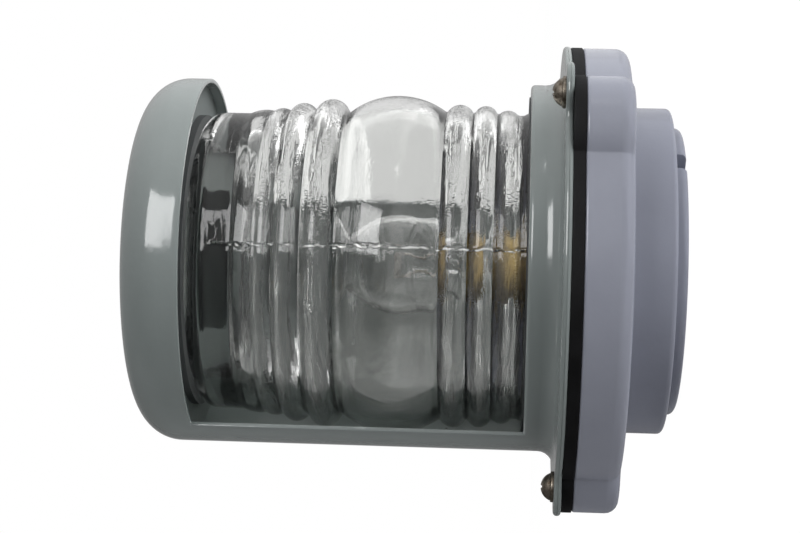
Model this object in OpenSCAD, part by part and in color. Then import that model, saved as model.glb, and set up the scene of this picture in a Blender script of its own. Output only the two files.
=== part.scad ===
// Boat navigation light: a masthead lantern with a painted hood, a clear drum lens and a bayonet lamp.
// It stands on its foot with the window to the front (-Y). Lengths are in millimetres.

/* [Base] */
// Distance of the foot's side inside the step's side
foot_in = 6.7; // [4:0.1:9]
// Height of the foot
foot_h = 4; // [3:0.1:6]
// Radius of the foot's lower edge
foot_edge = 2.3; // [1:0.1:2.8]
// Distance of the step's side inside the flange's edge
step_in = 20.1; // [17:0.1:22]
// Height of the step
step_h = 14.8; // [12:0.1:20]
// Radius of the step's lower edge
step_edge = 1.6; // [0.5:0.1:3]
// Distance of the base's edge inside the edge of the hood's flange
base_inset = 0.5; // [0:0.1:2]
// Thickness of the base's flange
base_h = 15.7; // [13:0.1:20]
// Radius of the flange's lower edge
base_edge = 4.5; // [1:0.1:6]
// Distance of each lobe's centre inside the ring of cover screws
lobe_in = 12.1; // [10:0.1:14]
// Radius of each lobe
lobe_r = 19.4; // [17:0.1:21]
// Radius of the hollow where a lobe meets the round flange
lobe_fillet = 0.8; // [0.5:0.1:3]
// Turn of the base's lobes against the hood's ears, in degrees
lobe_turn = 5.9; // [0:0.1:10]
// Thickness of the floor under the wiring chamber
floor_t = 8; // [6:0.1:10]
// Wall of the step round the wiring chamber
step_wall = 7.4; // [5:0.1:9]
// Width of the base's rim round the chamber's mouth
rim_w = 16.5; // [14:0.1:18]
// Depth of the wider part of the chamber
mouth_h = 12.5; // [10:0.1:14]

/* [Mounting] */
// Diameter of the three holes for the deck bolts
mount_hole_d = 6.6; // [5.5:0.1:7]
// Distance of the deck bolts from the axis
mount_ring = 38; // [36:0.1:40]
// Width of the notch that marks the front on the foot
notch_w = 7; // [4:0.1:10]
// Length of that notch from the foot's edge
notch_l = 6; // [4:0.1:7]

/* [Cable gland] */
// Diameter of the hole that the cable passes through
cable_d = 10.4; // [8:0.1:11]
// Diameter of the gland's stem in the floor
gland_stem_d = 16; // [15:0.1:18]
// Width of the gland's hexagons across their corners
gland_hex_d = 24; // [22:0.1:26]
// Height of each hexagon
gland_hex_h = 4; // [3:0.1:5]
// Diameter of the gland's thread above its hexagon
gland_thread_d = 18.5; // [17.5:0.1:19.5]
// Wall of the gland's thread
gland_wall = 1.6; // [1.2:0.1:2]
// Height of the rubber seal inside the gland
gland_seal_h = 5; // [4:0.1:6]

/* [Cover joint] */
// Thickness of the rubber gasket
gasket_t = 3.9; // [2:0.1:5]
// Distance that the gasket's edge stands out past the base
gasket_lip = 0.2; // [0.1:0.1:1]
// Width of the gasket
gasket_w = 11.5; // [9:0.1:12.5]
// Distance of the cover screws from the hood's wall
bolt_out = 13.4; // [12:0.1:15]
// Radius of the hood's ears
ear_r = 9.7; // [8:0.1:12]
// Radius of the hollow where an ear meets the round flange
ear_fillet = 6; // [3:0.1:9]
// Width of the hood's flange outside its wall
flange_w = 13.4; // [12:0.1:15]
// Thickness of the hood's flange
flange_t = 2.6; // [2:0.1:4]

/* [Cover screws] */
// Diameter of the cover screws
screw_d = 5; // [4:0.1:5.5]
// Length of a cover screw under its head
screw_l = 17; // [15:0.1:19]
// Diameter of a cover screw's head
screw_head_d = 9.3; // [8:0.1:10]
// Height of a cover screw's head
screw_head_h = 3.3; // [2.6:0.1:3.8]
// Width of the cross recess's arms
recess_w = 1.2; // [0.8:0.1:1.6]
// Length of the cross recess
recess_l = 5.4; // [4:0.1:6]
// Depth of the cross recess
recess_h = 1.8; // [1:0.1:2.2]
// Diameter of the washers
washer_d = 10.4; // [10.2:0.1:12]
// Thickness of the washers
washer_t = 1; // [0.8:0.1:1.4]
// Diameter of the brass inserts in the base
insert_d = 8; // [7.4:0.1:8.6]
// Length of the brass inserts
insert_l = 13; // [11:0.1:14]

/* [Hood] */
// Outer radius of the hood's body
hood_r = 63.6; // [63:0.1:66]
// Thickness of the hood's sheet
hood_t = 1.5; // [1:0.1:1.8]
// Height of the collar below the window, with the flange
collar_h = 13.3; // [13:0.1:16]
// Radius of the hollow between the collar and the flange
collar_fillet = 5.5; // [3:0.1:7]
// Radius of the collar's rounded upper edge
collar_edge = 1.4; // [0.5:0.1:1.8]
// Width of the collar's turned-in lip
collar_lip = 2.7; // [2:0.1:3.5]
// Thickness of the collar's turned-in lip, which the window's cut evens out at the front
lip_t = 1.7; // [1.6:0.1:2]
// Height of the window
window_h = 111.6; // [108:0.1:116]
// Arc of the window, in degrees
window_arc = 218; // [180:1:230]
// Height of the cap's straight side above the window
cap_side_h = 6.9; // [6:0.1:12]
// Radius of the cap's shoulder
cap_shoulder_r = 14.4; // [10:0.1:18]
// Radius of the cap's crown
cap_crown_r = 260; // [180:5:400]

/* [Lens] */
// Distance that the bulge stands out past the lens's plain upper part
bulge_rise = 7.1; // [5:0.05:8]
// Step from the plain part out to the glass between the ridges
root_step = 1.05; // [0.5:0.05:1.5]
// Step from the plain part out to the lens's foot
foot_step = 1.85; // [1.6:0.05:2.4]
// Height of the lens's foot above the collar
lens_foot_h = 2.3; // [2:0.1:3]
// Radius of the foot's upper edge
lens_foot_edge = 2; // [1:0.1:2.2]
// Thickness of the glass
glass_t = 4; // [3:0.1:4.5]
// Height of the bulge's middle above the collar
bulge_h = 45.3; // [44:0.1:47]
// Room between the bulge and the collar's hole that it passes through
bulge_room = 0.45; // [0.2:0.05:1]
// Radius of the bulge's curve
bulge_curve_r = 27.4; // [25:0.1:30]
// Height of the lens's foot inside the collar
lens_sink = 8.2; // [7.6:0.1:8.4]
// Distance that the lens rises into the cap
lens_rise = 1.2; // [0.5:0.1:2]
// Radius of the lens's upper shoulder
lens_shoulder_r = 6.5; // [5:0.1:8]
// Width of the lens's turned-in upper end
lens_end_w = 10.35; // [8:0.05:12]

/* [Lens seals] */
// Thickness of the seal above the lens
top_seal_t = 2.5; // [2:0.1:3]
// Distance of that seal's edge from the lens's side
top_seal_inset = 1; // [0.5:0.1:3]
// Thickness of the plate in the cap and of the retaining ring
plate_t = 1.2; // [1:0.1:1.5]
// Height of the plate's rim in the cap
plate_rim_h = 3.5; // [2:0.1:4]
// Radius of the hole in the plate
plate_hole_r = 26; // [15:0.5:35]
// Height of the collar seal below the collar's hole
collar_seal_h = 3; // [2:0.1:3.3]
// Distance that the collar seal stands out of the hole
collar_seal_lip = 0.5; // [0.2:0.1:1]
// Thickness of the seal under the lens's foot
foot_seal_t = 1.5; // [1:0.1:2]
// Distance that the foot seal stands out on each side of the glass
foot_seal_over = 0.4; // [0:0.1:0.8]
// Width of the retaining ring inside the lens's foot
ring_overlap = 2.2; // [1:0.1:4]
// Distance of the ring's screws from the hood's inner wall
lug_in = 4.1; // [3.9:0.1:4.2]
// Diameter of the ring's screws
ring_screw_d = 3; // [2.5:0.1:3.4]
// Diameter of the nuts that are welded inside the collar
lug_d = 6.6; // [6:0.1:6.8]
// Height of those nuts
lug_h = 4; // [3:0.1:4.2]

/* [Lamp holder] */
// Height of the filament above the lamp's pins
light_centre = 45; // [42:0.1:46]
// Height of the lamp's pins above the sleeve's flange
pin_h = 12; // [11:0.1:12.5]
// Wall of the brass sleeve
sleeve_wall = 1.8; // [1.2:0.1:2.4]
// Height of the brass sleeve
sleeve_h = 24; // [20:0.1:25]
// Thickness of the sleeve's flange
sleeve_flange_t = 1.4; // [1:0.1:2]
// Width of the slots that take the lamp's pins
pin_slot_w = 2.8; // [2.6:0.1:3.2]
// Turn that frees the lamp, in degrees
lamp_turn = 20; // [15:1:30]
// Width of the holder's flange round the sleeve
holder_flange_w = 6; // [5.6:0.1:7]
// Height of the porcelain body
holder_h = 9; // [8:0.1:11]
// Height of the porcelain post inside the sleeve
post_h = 4; // [3:0.1:4.4]
// Distance of the contacts from the axis
contact_x = 4; // [3.6:0.1:4.4]
// Diameter of the spring contacts
contact_d = 4.6; // [4:0.1:5]
// Length of the spring contacts
plunger_l = 6.5; // [6:0.1:7]
// Travel of the spring contacts
contact_travel = 1.5; // [1:0.1:2]
// Length left for the springs when the contacts are pushed in
spring_least_l = 4.8; // [4:0.1:5.2]
// Radius of the springs' turns
spring_r = 1.8; // [1.5:0.1:1.9]
// Radius of the springs' wire
spring_wire_r = 0.3; // [0.2:0.05:0.4]
// Turns of the springs
spring_turns = 4; // [3:1:5]
// Length of the holder's screws past their nuts
screw_end = 0.5; // [0.2:0.1:2]
// Diameter of the small screws in the holder and the terminal block
small_screw_d = 3; // [2.6:0.1:3.2]

/* [Bracket] */
// Width of the bracket across its legs
bracket_w = 46; // [44:0.5:48]
// Depth of the bracket
bracket_d = 24; // [20:0.5:26]
// Thickness of the bracket's sheet
bracket_t = 1.6; // [1.2:0.1:2]
// Distance of the bracket's screws from the axis
bracket_screw_x = 34; // [33:0.1:36]
// Distance from the bracket's screws to the ends of its feet
bracket_foot_end = 6; // [5:0.1:7]
// Diameter of the bracket's screws
bracket_screw_d = 4; // [3.5:0.1:4.5]
// Length of the bracket's screws
bracket_screw_l = 5; // [4:0.1:7]

/* [Terminal block] */
// Length of the terminal block
block_l = 40; // [38:0.5:42]
// Depth of the terminal block
block_d = 13; // [12:0.5:14]
// Height of the terminal block
block_h = 13; // [12:0.5:15]
// Distance of the block's middle from the axis
block_y = 31; // [30:0.5:32]
// Distance of each pole from the block's middle
pole_x = 7; // [6:0.5:8]
// Height of the wire holes above the floor
wire_h = 5; // [4:0.1:6]
// Distance of the block's screws from its ends
block_screw_inset = 4; // [3.5:0.1:5]
// Length of the block's screws in the floor
block_screw_grip = 3; // [2:0.1:4]
// Diameter of the insulated leads
lead_d = 2.4; // [2:0.1:2.6]
// Height of the leads' holes above the springs' seats
lead_hole_h = 2; // [1.8:0.1:2.5]
// Length of the leads inside the block
lead_in = 5; // [3:0.1:6]

/* [Lamp] */
// Radius of the lamp's brass cap
lamp_cap_r = 11; // [10.8:0.1:11.1]
// Height of the lamp's cap
lamp_cap_h = 25; // [23:0.1:27]
// Wall of the lamp's cap
lamp_cap_wall = 0.6; // [0.5:0.1:0.8]
// Height of the lamp's pins above its end
pin_from_end = 6; // [5.6:0.1:6.4]
// Height of the lamp's insulator
insulator_h = 8; // [5:0.1:10]
// Distance that the insulator stands out below the cap
insulator_out = 0.6; // [0.3:0.1:1]
// Thickness of the lamp's own contacts
lamp_contact_t = 0.9; // [0.6:0.1:1.4]
// Distance that those contacts stand out of the insulator
lamp_contact_out = 0.2; // [0.1:0.1:0.4]
// Diameter of the lamp's pins
lamp_pin_d = 2.2; // [2:0.1:2.4]
// Distance that the pins stand out past the sleeve
pin_out = 0.4; // [0.2:0.1:0.8]
// Radius of the lamp's round bulb
bulb_r = 17.5; // [16:0.1:20]
// Room between the bulb's neck and the lamp's cap
neck_gap = 0.6; // [0.3:0.1:1.2]
// Height of the neck's lower end above the lamp's end
neck_h = 12; // [11:0.1:13]
// Radius of the hollow between the neck and the bulb
neck_fillet = 12; // [8:0.1:16]
// Thickness of the bulb's glass
bulb_glass_t = 0.8; // [0.6:0.1:1.2]
// Radius of the glass stem inside the bulb
stem_r = 2.6; // [2:0.1:3.5]
// Height of the stem's flare
stem_flare_h = 2; // [1:0.1:3]
// Distance of the stem's top below the filament
stem_drop = 12; // [9:0.1:14]
// Radius of the filament's supports
support_r = 0.4; // [0.3:0.05:0.5]
// Length of the supports before they spread
support_rise = 2; // [1:0.1:4]
// Length of the supports under the filament
support_hook = 1.2; // [0.8:0.1:2]
// Length of the filament
filament_l = 12; // [8:0.5:14]
// Radius of the filament's turns
filament_r = 0.8; // [0.6:0.05:1]
// Radius of the filament's wire
filament_wire_r = 0.2; // [0.1:0.05:0.25]
// Turns of the filament
filament_turns = 10; // [6:1:10]

/* [Fits] */
// Room round a screw, stem or insert in its hole
thread_room = 0.05; // [0.02:0.01:0.1]
// Room round a part that turns or slides in its hole
running_room = 0.08; // [0.02:0.01:0.1]
// Room round a bolt in the hole that it passes through
bolt_room = 0.25; // [0.1:0.05:0.5]
// Room between the lamp's cap and the sleeve
lamp_room = 0.2; // [0.1:0.05:0.3]
// Room between the rings in the collar and the hood's wall
wall_room = 0.3; // [0.2:0.05:0.5]
// Room round a lead in its hole
lead_room = 0.2; // [0.1:0.05:0.3]

/* [Hidden] */
$fn = 96;
// Length by which a cut runs past the face that it opens
past = 1;
// Depth of each hollow below the round edges that it joins, so that the faces cross
hollow_bite = 0.03;
// Step between faces that would lie in one plane
face_step = 0.02;

// Heights of the main faces
floor_z = floor_t;
base_top = foot_h + step_h + base_h;
mouth_z = base_top - mouth_h;
hood_z = base_top + gasket_t;
flange_z = hood_z + flange_t;
window_z = hood_z + collar_h;
cap_z = window_z + window_h;
shoulder_z = cap_z + cap_side_h;

// The base's lobes, the hood's ears and the points between the ears
lobe_angles = [for (i = [0:2]) -90 - lobe_turn + 120 * i];
ear_angles = [for (i = [0:2]) -90 + 120 * i];
lug_angles = [for (i = [0:2]) -30 + 120 * i];

// The hood's inside, its flange and the crown of its cap
hood_in_r = hood_r - hood_t;
flange_r = hood_r + flange_w;
bolt_ring = hood_r + bolt_out;
collar_hole_r = hood_in_r - collar_lip;
crown_lean = asin((hood_r - cap_shoulder_r) / (cap_crown_r - cap_shoulder_r));
crown_z = shoulder_z - (cap_crown_r - cap_shoulder_r) * cos(crown_lean);

// The base inside the hood's flange
base_r = flange_r - base_inset;
lobe_ring = bolt_ring - lobe_in;
step_r = base_r - step_in;
foot_r = step_r - foot_in;
chamber_r = step_r - step_wall;
mouth_r = base_r - rim_w;
gasket_hole_r = base_r - gasket_w;

// The lens and what holds it
bulge_reach = collar_hole_r - bulge_room;
lens_r = bulge_reach - bulge_rise;
lens_root_r = lens_r + root_step;
lens_foot_r = lens_r + foot_step;
lens_mouth_r = lens_r - lens_end_w;
ring_hole_r = lens_foot_r - glass_t - ring_overlap;
ring_screw_ring = hood_in_r - lug_in;
bulge_z = window_z + bulge_h;
lens_z = window_z - lens_sink;
lens_top = cap_z + lens_rise;
lens_shoulder_z = lens_top - lens_shoulder_r;
lens_foot_top = window_z + lens_foot_h;
// Each ridge over the bulge: distance below the lens's shoulder, rise above the root, half of its width
high_ridges = [
    [14.3, 0.3, 2.6],
    [20.1, 1, 2.9],
    [27.5, 2.9, 4.3],
    [37.5, 4.5, 5.4]
];
// Each ridge under the bulge: distance above the collar, rise above the root, half of its width
low_ridges = [
    [24.3, 3.4, 4.8],
    [15.3, 3.1, 4.1],
    [7.6, 1.7, 3.5]
];
ridged_top = lens_shoulder_z - high_ridges[1][0];
ring_z = lens_z - foot_seal_t - plate_t;
lip_z = window_z - hood_t;

// The cover screws
head_z = flange_z + washer_t;
insert_z = base_top - insert_l;

// The lamp holder, counted down from the filament, which sits at the bulge's middle
pin_z = bulge_z - light_centre;
sleeve_z = pin_z - pin_h;
holder_z = sleeve_z - holder_h;
sleeve_in_r = lamp_cap_r + lamp_room;
sleeve_r = sleeve_in_r + sleeve_wall;
holder_r = sleeve_r + holder_flange_w;
holder_screw_x = (sleeve_r + holder_r) / 2;
lamp_pin_reach = sleeve_r + pin_out;
bore_r = contact_d / 2 + running_room;
lamp_z = pin_z - pin_from_end;
contact_z = lamp_z - lamp_contact_out;
plunger_z = contact_z - plunger_l;
bore_z = plunger_z - contact_travel - spring_least_l;
spring_l = plunger_z - bore_z;
small_head_d = 1.75 * small_screw_d;
small_head_h = 0.7 * small_screw_d;
small_nut_d = 2 * small_screw_d;
small_nut_h = 0.8 * small_screw_d;
ring_head_d = 1.8 * ring_screw_d;
ring_head_h = 0.6 * ring_screw_d;

// The cable gland's heights and the pocket for its seal
gland_hex_top = floor_z + gland_hex_h;
gland_cap_z = gland_hex_top + gland_wall / 2;
gland_top = gland_cap_z + gland_seal_h + gland_wall;
gland_pocket_r = gland_thread_d / 2 - gland_wall;

// The bracket that carries the lamp holder
bracket_foot_x = bracket_screw_x + bracket_foot_end;
bracket_head_d = 1.9 * bracket_screw_d;
bracket_head_h = 0.65 * bracket_screw_d;

// The terminal block and the leads that climb from it to the holder
block_screw_x = block_l / 2 - block_screw_inset;
block_screw_hole = block_screw_grip + 2 * thread_room;
wire_hole_z = floor_z + wire_h;
lead_hole_z = bore_z + lead_hole_h;
block_front = block_y - block_d / 2;
lead_bend_y = block_front - 2.5;
lead_route = [
    [pole_x, block_front + lead_in, wire_hole_z],
    [pole_x, block_front, wire_hole_z],
    [pole_x, lead_bend_y, wire_hole_z + 1],
    [pole_x, lead_bend_y - 1, wire_hole_z + 4],
    [(pole_x + contact_x) / 2, lead_bend_y - 1, lead_hole_z - 6],
    [contact_x, lead_bend_y - 1, lead_hole_z - 2],
    [contact_x, lead_bend_y - 2, lead_hole_z - 0.3],
    [contact_x, holder_r - 1.5, lead_hole_z],
    [contact_x, holder_r - 8, lead_hole_z]
];

// The lamp's glass
neck_r = lamp_cap_r - lamp_cap_wall - neck_gap;
neck_fillet_z = bulge_z - sqrt(pow(bulb_r + neck_fillet, 2) - pow(neck_r + neck_fillet, 2));
neck_z = lamp_z + neck_h;
stem_top = bulge_z - stem_drop;

hood_paint = [0.50, 0.55, 0.545];
base_paint = [0.58, 0.59, 0.65];
rubber = [0.09, 0.09, 0.10];
glass = [0.86, 0.90, 0.89, 0.35];
brass = [0.72, 0.58, 0.30];
steel = [0.62, 0.60, 0.57];
zinc = [0.70, 0.71, 0.72];
porcelain = [0.90, 0.88, 0.83];
phenolic = [0.16, 0.12, 0.10];
live_colour = [0.45, 0.10, 0.08];
neutral_colour = [0.12, 0.16, 0.30];

// A ring or disc of revolution between two heights
module disc(r, z, h) {
    translate([0, 0, z]) cylinder(r = r, h = h);
}

module ring(r_out, r_in, z, h) {
    difference() {
        disc(r_out, z, h);
        disc(r_in, z - past, h + 2 * past);
    }
}

module at_ring(radius, angles) {
    for (a = angles) rotate([0, 0, a]) translate([radius, 0, 0]) children();
}

// A disc that stands on z = 0 with its lower edge rounded
module rounded_disc(r, h, edge) {
    rotate_extrude() union() {
        translate([0, edge]) square([r, h - edge]);
        square([r - edge, h]);
        translate([r - edge, edge]) circle(edge);
    }
}

// What the hollow beside a lobe takes away: a cylinder whose lower end flares out with the rounded edge
module hollow_cutter(r, h, edge) {
    rotate_extrude() union() {
        translate([0, -past]) square([r, h + 2 * past]);
        difference() {
            translate([0, -past]) square([r + edge, edge + past]);
            translate([r + edge, edge]) circle(edge);
            translate([r + edge, 0]) square([past, past]);
        }
    }
}

// Angle at the axis between a lobe's centre and the centre of the hollow beside it
function hollow_angle(r, ring, q, f) =
    acos((pow(r + f, 2) + ring * ring - pow(q + f, 2)) / (2 * (r + f) * ring));

// A round plate with lobes, hollows beside them and a rounded lower edge
module lobed_plate(r, ring, q, f, h, edge, angles) {
    turn = hollow_angle(r, ring, q, f);
    hollow = (r + f) * [cos(turn), sin(turn)];
    rounded_disc(r, h, edge);
    for (a = angles) rotate([0, 0, a]) {
        translate([ring, 0, face_step]) rounded_disc(q, h - 2 * face_step, edge);
        translate([0, 0, 2 * face_step]) difference() {
            linear_extrude(h - 4 * face_step) polygon([[0, 0], hollow, [ring, 0], [hollow[0], -hollow[1]]]);
            for (side = [-1, 1]) translate([hollow[0], side * hollow[1], 0])
                hollow_cutter(f + hollow_bite, h, edge);
        }
    }
}

// A pan head with a cross recess, standing on z = 0
module pan_head(d, h) {
    dome = (d * d / 4 + h * h) / (2 * h);
    difference() {
        intersection() {
            cylinder(d = d, h = h);
            translate([0, 0, h - dome]) sphere(dome);
        }
        for (turn = [0, 90]) rotate([0, 0, turn]) translate([-recess_l / 2, -recess_w / 2, h - recess_h])
            cube([recess_l, recess_w, recess_h + past]);
    }
}

// A small screw with a slotted round head: the head stands on z = 0 and the shank goes down
module small_screw(d, head_d, head_h, l) {
    slot = 0.25 * d;
    difference() {
        cylinder(d = head_d, h = head_h);
        translate([-head_d / 2, -slot / 2, head_h / 2]) cube([head_d, slot, head_h]);
    }
    translate([0, 0, -l]) cylinder(d = d, h = l);
}

// Rings of points round a route, joined into one closed tube
function unit(v) = v / norm(v);
function heading(p, i) = unit(p[min(i + 1, len(p) - 1)] - p[max(i - 1, 0)]);
function across(t) = unit(cross(t, abs(t[2]) < 0.9 ? [0, 0, 1] : [1, 0, 0]));

module tube(p, r, sides) {
    n = len(p);
    points = [for (i = [0:n - 1]) let (t = heading(p, i), u = across(t), v = cross(t, u))
        for (k = [0:sides - 1]) p[i] + r * (cos(360 * k / sides) * u + sin(360 * k / sides) * v)];
    walls = [for (i = [0:n - 2], k = [0:sides - 1]) let (
            a = i * sides + k,
            b = i * sides + (k + 1) % sides)
        each [[a, a + sides, b], [b, a + sides, b + sides]]];
    ends = [for (k = [1:sides - 2]) each [[0, k, k + 1],
        [(n - 1) * sides, (n - 1) * sides + k + 1, (n - 1) * sides + k]]];
    polyhedron(points, concat(walls, ends));
}

// Points of a coil that climbs along Z, and the least gap between its turns
coil_steps = 8;
function coil_points(r, turns, l) = [for (i = [0:turns * coil_steps])
    [r * cos(360 * i / coil_steps), r * sin(360 * i / coil_steps), l * i / (turns * coil_steps)]];
function coil_gap(p, wire) =
    min([for (i = [0:len(p) - 1 - coil_steps]) norm(p[i + coil_steps] - p[i])]) - 2 * wire;

module coil(name, r, wire, turns, l) {
    points = coil_points(r, turns, l);
    echo(str("least gap between turns of ", name, ": ", coil_gap(points, wire)));
    tube(points, wire, 6);
}

// Base
module base_casting() {
    color(base_paint) difference() {
        union() {
            rounded_disc(foot_r, foot_h + past, foot_edge);
            translate([0, 0, foot_h]) rounded_disc(step_r, step_h + past, step_edge);
            translate([0, 0, foot_h + step_h])
                lobed_plate(base_r, lobe_ring, lobe_r, lobe_fillet, base_h, base_edge, lobe_angles);
        }
        disc(chamber_r, floor_z, base_top);
        disc(mouth_r, mouth_z, base_top);
        disc(gland_stem_d / 2 + thread_room, -past, floor_z + 2 * past);
        at_ring(mount_ring, ear_angles) disc(mount_hole_d / 2, -past, floor_z + 2 * past);
        at_ring(bolt_ring, ear_angles) disc(insert_d / 2 + thread_room, insert_z, insert_l + past);
        translate([-notch_w / 2, -foot_r - past, -past]) cube([notch_w, notch_l + past, foot_h + past]);
        for (x = [-bracket_screw_x, bracket_screw_x]) translate([x, 0, 0])
            disc(bracket_screw_d / 2 + thread_room, floor_z - bracket_screw_l + bracket_t, bracket_screw_l);
        for (x = [-block_screw_x, block_screw_x]) translate([x, block_y, 0])
            disc(small_screw_d / 2 + thread_room, floor_z - block_screw_hole, block_screw_hole + past);
    }
}

module flange_gasket() {
    color(rubber) translate([0, 0, base_top]) difference() {
        lobed_plate(
            base_r + gasket_lip, lobe_ring, lobe_r + gasket_lip, lobe_fillet, gasket_t, 0, lobe_angles
        );
        disc(gasket_hole_r, -past, gasket_t + 2 * past);
        at_ring(bolt_ring, ear_angles) disc(screw_d / 2 + bolt_room, -past, gasket_t + 2 * past);
    }
}

module cover_inserts() {
    color(brass) at_ring(bolt_ring, ear_angles)
        ring(insert_d / 2, screw_d / 2 + running_room, insert_z, insert_l);
}

// Cable gland in the middle of the floor
module gland_body() {
    color(brass) difference() {
        union() {
            disc(gland_stem_d / 2, 0, floor_z + past);
            translate([0, 0, floor_z]) cylinder(d = gland_hex_d, h = gland_hex_h, $fn = 6);
            disc(gland_thread_d / 2, floor_z, gland_top - floor_z);
        }
        disc(cable_d / 2, -past, gland_top + 2 * past);
        disc(gland_pocket_r, gland_top - gland_seal_h, gland_seal_h + past);
    }
}

module gland_seal() {
    color(rubber) ring(gland_pocket_r - thread_room, cable_d / 2, gland_top - gland_seal_h, gland_seal_h);
}

module gland_cap() {
    color(brass) difference() {
        translate([0, 0, gland_cap_z])
            cylinder(d = gland_hex_d, h = gland_top + gland_wall - gland_cap_z, $fn = 6);
        disc(gland_thread_d / 2 + thread_room, gland_cap_z - past, gland_top - gland_cap_z + past);
        disc(cable_d / 2, gland_cap_z, gland_top);
    }
}

// Bracket and lamp holder
module holder_bracket() {
    half = bracket_w / 2;
    top = holder_z;
    color(zinc) difference() {
        translate([0, bracket_d / 2, 0]) rotate([90, 0, 0]) linear_extrude(bracket_d) difference() {
            union() {
                translate([-half, floor_z]) square([bracket_w, top - floor_z]);
                translate([-bracket_foot_x, floor_z]) square([2 * bracket_foot_x, bracket_t]);
            }
            translate([-half + bracket_t, floor_z - past])
                square([bracket_w - 2 * bracket_t, top - floor_z - bracket_t + past]);
        }
        for (x = [-holder_screw_x, holder_screw_x]) translate([x, 0, 0])
            disc(small_screw_d / 2 + bolt_room, top - bracket_t - past, bracket_t + 2 * past);
        for (x = [-bracket_screw_x, bracket_screw_x]) translate([x, 0, 0])
            disc(bracket_screw_d / 2 + bolt_room, floor_z - past, bracket_t + 2 * past);
    }
}

module bracket_screws() {
    color(steel) for (x = [-bracket_screw_x, bracket_screw_x]) translate([x, 0, floor_z + bracket_t])
        small_screw(bracket_screw_d, bracket_head_d, bracket_head_h, bracket_screw_l);
}

module holder_body() {
    color(porcelain) difference() {
        union() {
            disc(holder_r, holder_z, holder_h);
            disc(sleeve_in_r - thread_room, sleeve_z, post_h);
        }
        for (x = [-contact_x, contact_x]) {
            translate([x, 0, 0]) disc(bore_r, bore_z, holder_h + post_h);
            translate([x, 0, lead_hole_z]) rotate([-90, 0, 0])
                cylinder(r = lead_d / 2 + lead_room, h = holder_r + past);
        }
        for (x = [-holder_screw_x, holder_screw_x]) translate([x, 0, 0])
            disc(small_screw_d / 2 + bolt_room, holder_z - past, holder_h + 2 * past);
    }
}

// The sleeve's slots let each pin in from above and then a part turn round to its seat
module holder_sleeve() {
    cut_r = sleeve_in_r - past;
    cut_w = sleeve_r - sleeve_in_r + 2 * past;
    slot_half = asin((pin_slot_w / 2 + lamp_room) / sleeve_in_r);
    color(brass) difference() {
        union() {
            disc(holder_r, sleeve_z, sleeve_flange_t);
            disc(sleeve_r, sleeve_z, sleeve_h);
        }
        disc(sleeve_in_r, sleeve_z - past, sleeve_h + 2 * past);
        for (x = [-holder_screw_x, holder_screw_x]) translate([x, 0, 0])
            disc(small_screw_d / 2 + bolt_room, sleeve_z - past, sleeve_flange_t + 2 * past);
        for (seat = [90, 270]) rotate([0, 0, seat]) {
            rotate([0, 0, -slot_half]) rotate_extrude(angle = lamp_turn + 2 * slot_half)
                translate([cut_r, pin_z - pin_slot_w / 2]) square([cut_w, pin_slot_w]);
            rotate([0, 0, lamp_turn]) translate([cut_r, -pin_slot_w / 2, pin_z])
                cube([cut_w, pin_slot_w, sleeve_h]);
        }
    }
}

module holder_screws() {
    l = sleeve_flange_t + holder_h + bracket_t + small_nut_h + screw_end;
    color(steel) for (x = [-holder_screw_x, holder_screw_x]) translate([x, 0, sleeve_z + sleeve_flange_t])
        small_screw(small_screw_d, small_head_d, small_head_h, l);
}

module holder_nuts() {
    z = holder_z - bracket_t - small_nut_h;
    color(steel) for (x = [-holder_screw_x, holder_screw_x]) translate([x, 0, 0]) difference() {
        translate([0, 0, z]) cylinder(d = small_nut_d, h = small_nut_h, $fn = 6);
        disc(small_screw_d / 2 + thread_room, z - past, small_nut_h + 2 * past);
    }
}

// Terminal block and leads
module terminal_block() {
    color(phenolic) difference() {
        translate([-block_l / 2, block_front, floor_z]) cube([block_l, block_d, block_h]);
        for (x = [-pole_x, pole_x]) {
            translate([x, block_front - past, wire_hole_z]) rotate([-90, 0, 0])
                cylinder(r = lead_d / 2 + lead_room, h = block_d + 2 * past);
            for (y = [-block_d / 4, block_d / 4]) translate([x, block_y + y, 0])
                disc(small_screw_d / 2 + thread_room, wire_hole_z, block_h);
        }
        for (x = [-block_screw_x, block_screw_x]) translate([x, block_y, 0])
            disc(small_screw_d / 2 + bolt_room, floor_z - past, block_h + 2 * past);
    }
}

module terminal_screws() {
    top = floor_z + block_h;
    l = top - wire_hole_z - lead_d / 2 - lead_room;
    color(brass) for (x = [-pole_x, pole_x], y = [-block_d / 4, block_d / 4]) translate([x, block_y + y, top])
        small_screw(small_screw_d, small_head_d, small_head_h / 2, l);
}

module block_screws() {
    color(steel) for (x = [-block_screw_x, block_screw_x]) translate([x, block_y, floor_z + block_h])
        small_screw(small_screw_d, small_head_d, small_head_h, block_h + block_screw_grip);
}

module live_lead() {
    color(live_colour) tube(lead_route, lead_d / 2, 8);
}

module neutral_lead() {
    color(neutral_colour) mirror([1, 0, 0]) tube(lead_route, lead_d / 2, 8);
}

// Spring contacts
module contact(x) {
    color(brass) translate([x, 0, plunger_z]) cylinder(d = contact_d, h = plunger_l);
}

module contact_left() {
    contact(-contact_x);
}

module contact_right() {
    contact(contact_x);
}

module contact_spring(name, x) {
    inset = spring_wire_r + thread_room;
    color(steel) translate([x, 0, bore_z + inset])
        coil(name, spring_r, spring_wire_r, spring_turns, spring_l - 2 * inset);
}

module contact_spring_left() {
    contact_spring("contact_spring_left", -contact_x);
}

module contact_spring_right() {
    contact_spring("contact_spring_right", contact_x);
}

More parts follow.
